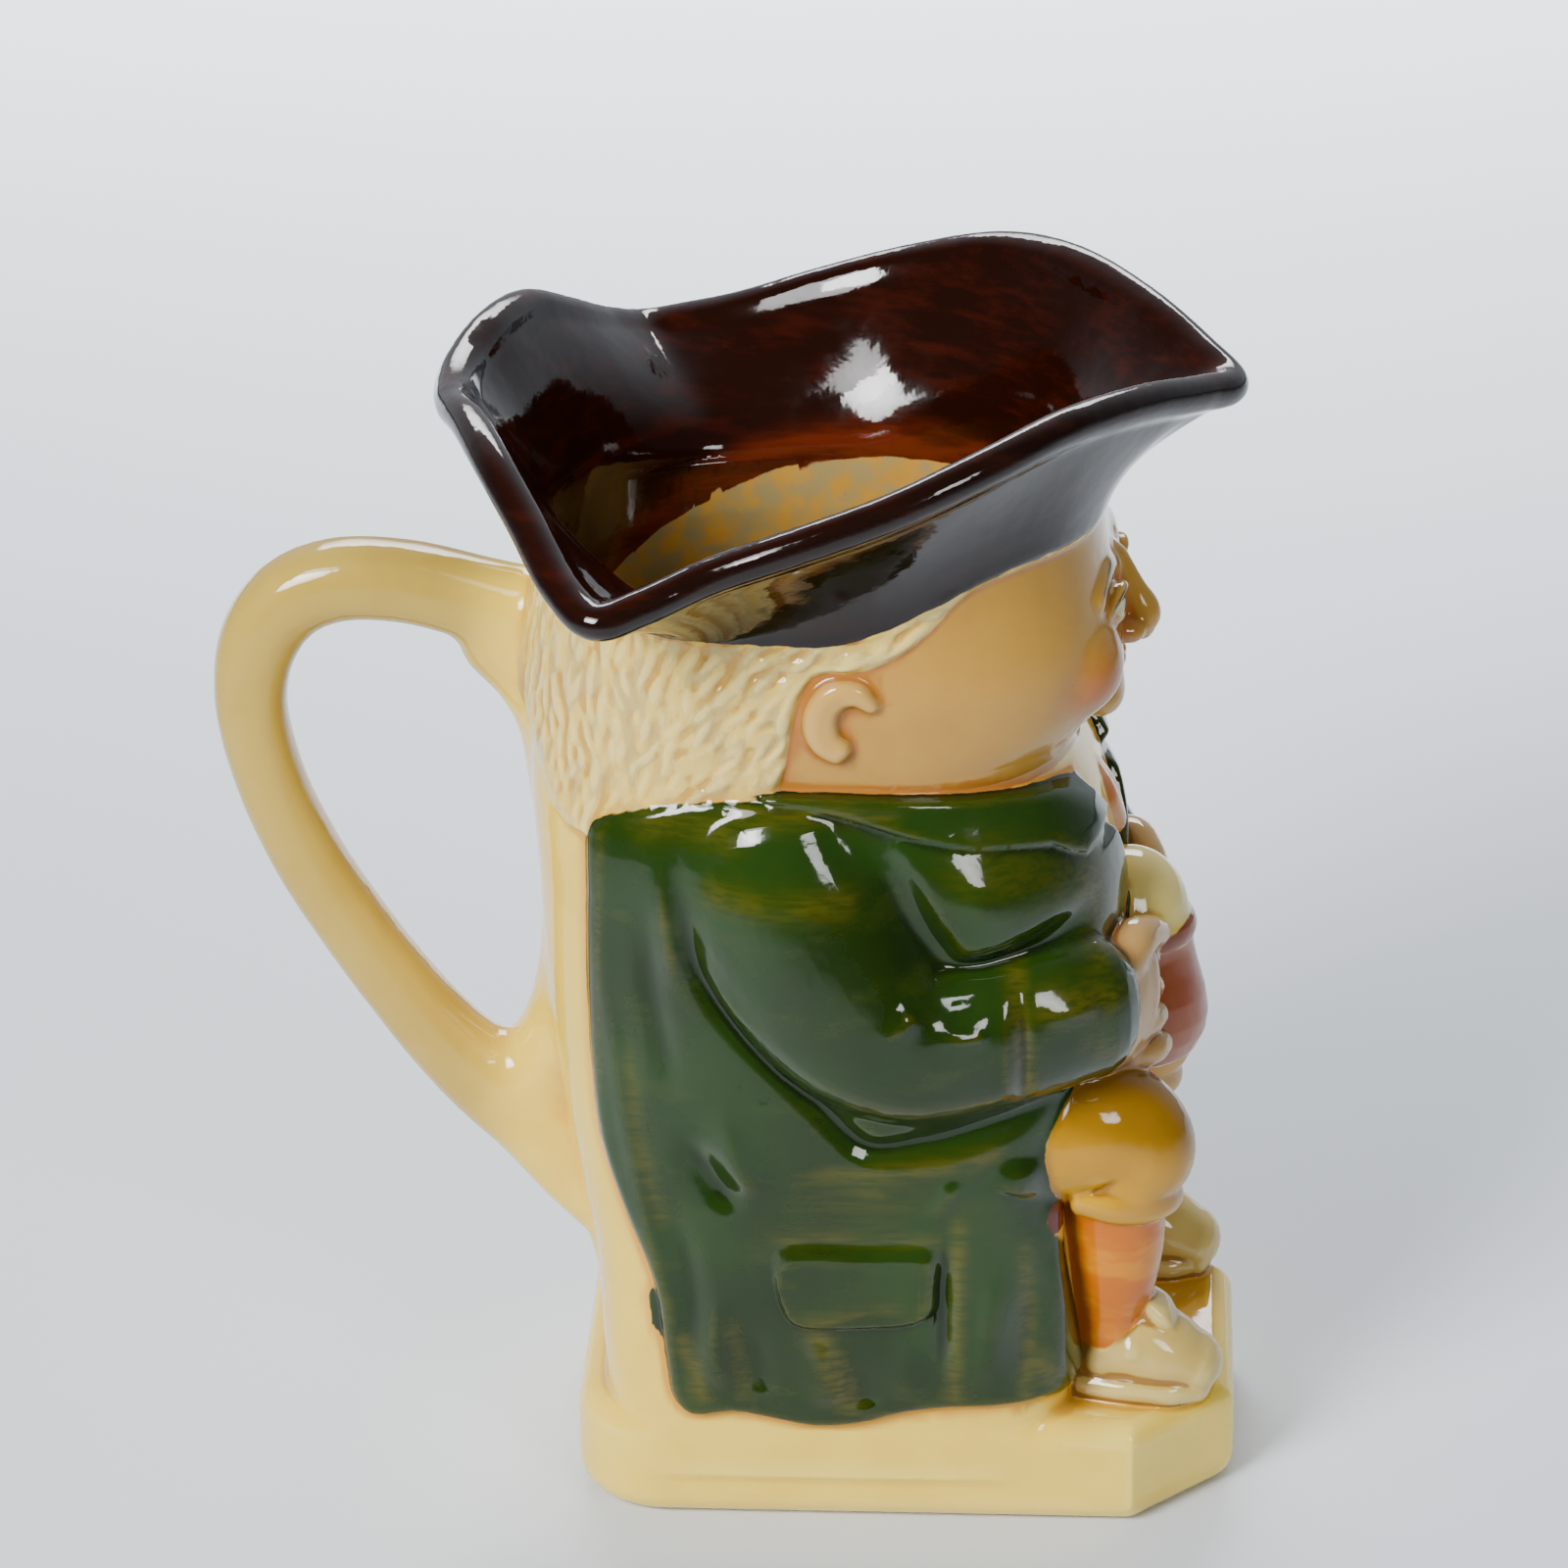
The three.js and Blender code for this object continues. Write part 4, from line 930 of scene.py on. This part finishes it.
def glaze_material():
    """Underglaze colours brushed on by hand under one clear, slightly uneven glaze."""
    material = bpy.data.materials.new("painted_glaze")
    material.use_nodes = True
    tree = material.node_tree
    tree.nodes.clear()
    n = Nodes(tree)
    place = n.add("TexCoord", output=3)
    bend = n.math("ADD", n.attribute("recess"), n.math("MULTIPLY", n.attribute("recess_fine"), 0.5))
    wobble = n.math("MULTIPLY", n.math("SUBTRACT", n.noise(place, 240, 3), 0.5), 1.0)
    broad = n.noise(place, 24, 2)
    patch = n.noise(place, 70, 4)
    mottle = n.noise(place, 190, 3)
    bristle = n.noise(place, 820, 3, 0.6, (0.7, 0.14, 1.4))
    wash = n.noise(place, 120, 4, 0.6, (0.8, 0.4, 1.3))
    speck = n.mask(n.noise(place, 900, 2), 0.71, 0.78)

    def tone(base, recess=None, ridge=None, cloud=None, recess_at=(0.12, 1.0), ridge_at=(-0.12, -1.1), amount=0.5):
        colour = linear(*base)
        if cloud:
            colour = n.mix(n.math("MULTIPLY", n.mask(patch, 0.42, 0.66), amount), colour, linear(*cloud))
        if ridge:
            colour = n.mix(n.math("MULTIPLY", n.mask(bend, *ridge_at), 0.7), colour, linear(*ridge))
        if recess:
            colour = n.mix(n.math("MULTIPLY", n.mask(bend, *recess_at), 0.85), colour, linear(*recess))
        return colour

    def zone(name, paint, width=0.16, wobbled=1.0):
        nonlocal colour
        edge = n.math("ADD", n.attribute(name), n.math("MULTIPLY", wobble, wobbled))
        colour = n.mix(n.mask(edge, -width, width), colour, paint)

    def strength(name, amount, low=0.0, high=1.0):
        return n.math("MULTIPLY", n.mask(n.attribute(name), low, high), amount)

    colour = tone((236, 200, 74), (204, 148, 36), (240, 212, 104), (224, 186, 62))
    colour = n.mix(strength("coat", 0.6, -2.4, -0.2), colour, linear(206, 138, 40))
    # Darker tan painted over the handle and the back of the jug, towards +Y.
    colour = n.mix(strength("handle", 0.75), colour, tone((160, 132, 60), (150, 106, 34), (172, 146, 74), (152, 122, 52)))
    zone("inside", n.mix(broad, linear(152, 137, 90), linear(143, 127, 80)), wobbled=0.2)
    skin = tone((184, 138, 56), (164, 98, 34), (196, 152, 70), (174, 126, 48))
    skin = n.mix(strength("blush", 0.8), skin, linear(164, 84, 42))
    zone("face", skin)
    zone("lips", linear(150, 74, 44), 0.5, 0.3)
    zone("ear", tone((188, 144, 68), (150, 92, 36), (200, 158, 84), (178, 132, 58)))
    zone("eye", linear(206, 188, 120), wobbled=0.2)
    zone("ink", linear(46, 34, 24), 0.25, 0.1)
    zone("brow", linear(110, 92, 66), 0.4, 0.5)
    zone("foam", tone((224, 204, 118), (186, 144, 62), (234, 216, 138), (212, 188, 102)))
    zone("cravat", n.mix(n.mask(wash, 0.45, 0.6), linear(198, 120, 68), linear(206, 150, 92)))
    locks = n.mix(n.mask(n.attribute("lock"), 0.5, 0.72), linear(220, 188, 96), linear(194, 170, 100))
    locks = n.mix(n.math("MULTIPLY", n.mask(bend, -0.1, -0.9), 0.7), locks, linear(236, 210, 126))
    locks = n.mix(n.math("MULTIPLY", n.mask(bend, 0.1, 0.8), n.mask(patch, 0.4, 0.6, 0.35, 0.9)), locks,
                  linear(186, 140, 56))
    locks = n.mix(n.math("MULTIPLY", n.mask(mottle, 0.55, 0.7), 0.3), locks, linear(160, 146, 104))
    zone("hair", locks)
    zone("hand", tone((172, 132, 76), (124, 76, 38), (188, 150, 92), (156, 116, 62)))
    zone("rim", tone((120, 46, 12), (84, 30, 8), (140, 64, 20), (98, 36, 10)))
    zone("tankard", tone((154, 84, 54), (112, 50, 26), (172, 106, 72), (140, 70, 42)))
    breeches = tone((182, 132, 16), (134, 86, 10), (200, 152, 30), (166, 116, 12))
    breeches = n.mix(strength("knee_top", 0.75), breeches, linear(116, 80, 8))
    breeches = n.mix(strength("hem", 0.5), breeches, linear(160, 114, 44))
    zone("breeches", breeches)
    sock = n.mix(n.mask(wash, 0.42, 0.62), linear(184, 96, 0), linear(200, 122, 0))
    zone("stocking", n.mix(n.mask(bend, 0.12, 1.0), sock, linear(184, 98, 0)))
    zone("shoe", tone((190, 164, 90), (132, 86, 32), (204, 182, 110), (174, 142, 70), (0.06, 0.7)))
    zone("maroon", linear(92, 34, 22))
    green = n.mix(n.mask(broad, 0.38, 0.62), linear(24, 41, 5), linear(30, 54, 12))
    green = n.mix(n.math("MULTIPLY", n.mask(wash, 0.5, 0.7), 0.5), green, linear(44, 56, 12))
    worn = n.math("MULTIPLY", n.mask(bend, -0.3, -1.5), 0.5)
    dry = n.math("MULTIPLY", n.math("MAXIMUM", n.attribute("dry"), worn), n.mask(bristle, 0.34, 0.62, 0.3, 0.9))
    green = n.mix(n.math("MULTIPLY", dry, 0.7), green, linear(88, 80, 16))
    green = n.mix(n.math("MULTIPLY", n.mask(bend, 0.25, 1.5), 0.75), green, linear(15, 24, 6))
    zone("coat", green)
    streak = n.noise(place, 210, 4, 0.6, (0.6, 0.25, 1.6))
    brown = n.mix(n.mask(streak, 0.44, 0.72), linear(28, 8, 3), linear(48, 13, 4))
    brown = n.mix(n.math("MULTIPLY", n.mask(bend, -0.3, -1.6), 0.5), brown, linear(70, 24, 8))
    brown = n.mix(n.math("MULTIPLY", strength("rust", 0.9), n.mask(streak, 0.36, 0.6, 0.4, 1.0)), brown,
                  linear(92, 32, 9))
    outer = n.mix(n.mask(streak, 0.5, 0.7), linear(24, 9, 5), linear(38, 14, 7))
    zone("hat", n.mix(n.mask(n.attribute("inside"), -1, 1), outer, brown))
    colour = n.mix(n.math("MULTIPLY", speck, 0.2), colour, linear(60, 44, 26))

    waves = n.math("ADD", n.noise(place, 75, 2), n.math("MULTIPLY", n.noise(place, 330, 2), 0.18))
    grain = n.add("Bump", {"Strength": 0.5, "Distance": 0.0005, "Height": waves})
    shader = n.add("BsdfPrincipled", {
        "Base Color": colour, "Roughness": n.mask(mottle, 0.3, 0.7, 0.05, 0.11), "IOR": 1.5, "Normal": grain})
    end = tree.nodes.new("ShaderNodeOutputMaterial")
    tree.links.new(shader, end.inputs["Surface"])
    return material


def floor_material():
    material = bpy.data.materials.new("studio_paper")
    material.use_nodes = True
    shader = material.node_tree.nodes["Principled BSDF"]
    n = Nodes(material.node_tree)
    tone = n.noise(n.add("TexCoord", output=3), 3, 2)
    material.node_tree.links.new(n.mix(tone, linear(210, 218, 226), linear(216, 223, 230)), shader.inputs["Base Color"])
    shader.inputs["Roughness"].default_value = 0.8
    return material


# ---- the scene ------------------------------------------------------------------------------------
def bake_layout(mesh, points, normals, inside):
    """A UV map: each face lies on the chart of the way it faces."""
    layer = mesh.uv_layers.new(name="OFBake")
    corners = np.empty(len(mesh.loops), np.int32)
    mesh.loops.foreach_get("vertex_index", corners)
    faces = corners.reshape(-1, 3)
    middle = points[faces].mean(axis=1)
    facing = np.cross(points[faces[:, 1]] - points[faces[:, 0]], points[faces[:, 2]] - points[faces[:, 0]])
    axis = np.abs(facing * [1, 1, 0.8]).argmax(axis=1)
    positive = np.take_along_axis(facing, axis[:, None], 1)[:, 0] > 0
    chart = axis * 2 + positive
    within = inside[faces].mean(axis=1) > 0
    low, high = points.min(axis=0), points.max(axis=0)
    unit = (points - low) / (high - low).max()
    # Chart corners (u, v) and their scale: outside large, the hollow small.
    places = {(0, 0): (0.005, 0.50, 0.485), (0, 1): (0.50, 0.50, 0.485), (1, 0): (0.005, 0.005, 0.48),
              (1, 1): (0.36, 0.005, 0.48), (2, 0): (0.70, 0.005, 0.30), (2, 1): (0.70, 0.26, 0.24)}
    uv = np.zeros((len(faces), 3, 2))
    for (way, sign), (u0, v0, scale) in places.items():
        across, up = [(1, 2), (0, 2), (0, 1)][way]
        for hidden in (False, True):
            chosen = (chart == way * 2 + sign) & (within == hidden)
            size = scale * (0.28 if hidden else 1.0)
            shift = (0.72 + 0.045 * way, 0.44 - 0.0 * sign) if hidden else (u0, v0)
            picked = unit[faces[chosen]]
            uv[chosen] = np.stack([shift[0] + size * picked[..., across], shift[1] + size * picked[..., up]], axis=-1)
    layer.data.foreach_set("uv", uv.astype(np.float32).ravel())
    return middle


def jug():
    whole, zones, hair_tone = build()
    points, quads = surface(whole)
    mesh = thinned(mesh_of("toby_raw", points, quads), MOST_TRIANGLES)
    points = points_of(mesh)
    normals = normals_at(whole, points)
    masks = paint_masks(zones, hair_tone, points)
    masks["recess"] = hollowness(whole, points, 2.0)
    masks["recess_fine"] = hollowness(whole, points, 1.0)
    for name, values in masks.items():
        layer = mesh.attributes.new(name, "FLOAT", "POINT")
        layer.data.foreach_set("value", np.ascontiguousarray(values, np.float32))
    bake_layout(mesh, points, normals, masks["inside"])
    mesh.vertices.foreach_set("co", (points * MM).astype(np.float32).ravel())
    mesh.polygons.foreach_set("use_smooth", np.ones(len(mesh.polygons), bool))
    mesh.update()
    mesh.normals_split_custom_set_from_vertices([tuple(v) for v in normals])
    mesh.materials.append(glaze_material())
    piece = bpy.data.objects.new("toby_jug_glazed", mesh)
    bpy.context.scene.collection.objects.link(piece)
    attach(piece, "root")
    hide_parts("toby_jug")


def studio():
    size = 6.0
    corners = [(-size, -size, 0), (size, -size, 0), (size, size, 0), (-size, size, 0)]
    mesh = bpy.data.meshes.new("floor")
    mesh.from_pydata(corners, [], [(0, 1, 2, 3)])
    mesh.materials.append(floor_material())
    floor = bpy.data.objects.new("floor", mesh)
    bpy.context.scene.collection.objects.link(floor)

    def softbox(name, place, target, size, power, spread):
        light = bpy.data.lights.new(name, "AREA")
        light.shape, light.size, light.energy, light.spread = "SQUARE", size, power, math.radians(spread)
        holder = bpy.data.objects.new(name, light)
        holder.location = place
        holder.rotation_euler = (Vector(target) - Vector(place)).to_track_quat("-Z", "Y").to_euler()
        bpy.context.scene.collection.objects.link(holder)

    softbox("key", (-1.02, 0.72, 0.82), (0.02, 0, 0.08), 0.55, 3.4, 56)
    softbox("top", (-0.87, 0.66, 1.05), (0.02, 0, 0.1), 0.45, 0.8, 56)
    softbox("side", (-0.95, -0.62, 0.72), (0.02, 0, 0.1), 0.35, 0.5, 56)
    softbox("backdrop", (1.5, 0.1, 0.95), (1.3, 0.1, 0), 1.0, 42, 120)
    world = bpy.data.worlds.new("studio")
    world.use_nodes = True
    n = Nodes(world.node_tree)
    way = n.add("SeparateXYZ", {0: n.add("TexCoord")})
    sky = n.mix(n.mask(way, -0.1, 0.9), (0.05, 0.055, 0.06, 1), (0.6, 0.66, 0.72, 1))
    world.node_tree.links.new(sky, world.node_tree.nodes["Background"].inputs["Color"])
    bpy.context.scene.world = world


def camera():
    lens = bpy.data.cameras.new("camera")
    lens.sensor_width, lens.lens = 36.0, 168.75
    lens.clip_start, lens.clip_end = 0.05, 50
    holder = bpy.data.objects.new("camera", lens)
    right, up, ahead = (Vector(v) for v in (
        (0.04675, -0.99890, -0.00478), (0.42236, 0.01543, 0.90630), (0.90522, 0.04439, -0.42262)))
    turn = Matrix((right, up, -ahead)).transposed().to_4x4()
    holder.matrix_world = Matrix.Translation(Vector((-1.1635, -0.0347, 0.6691))) @ turn
    bpy.context.scene.collection.objects.link(holder)
    bpy.context.scene.camera = holder


jug()
studio()
camera()
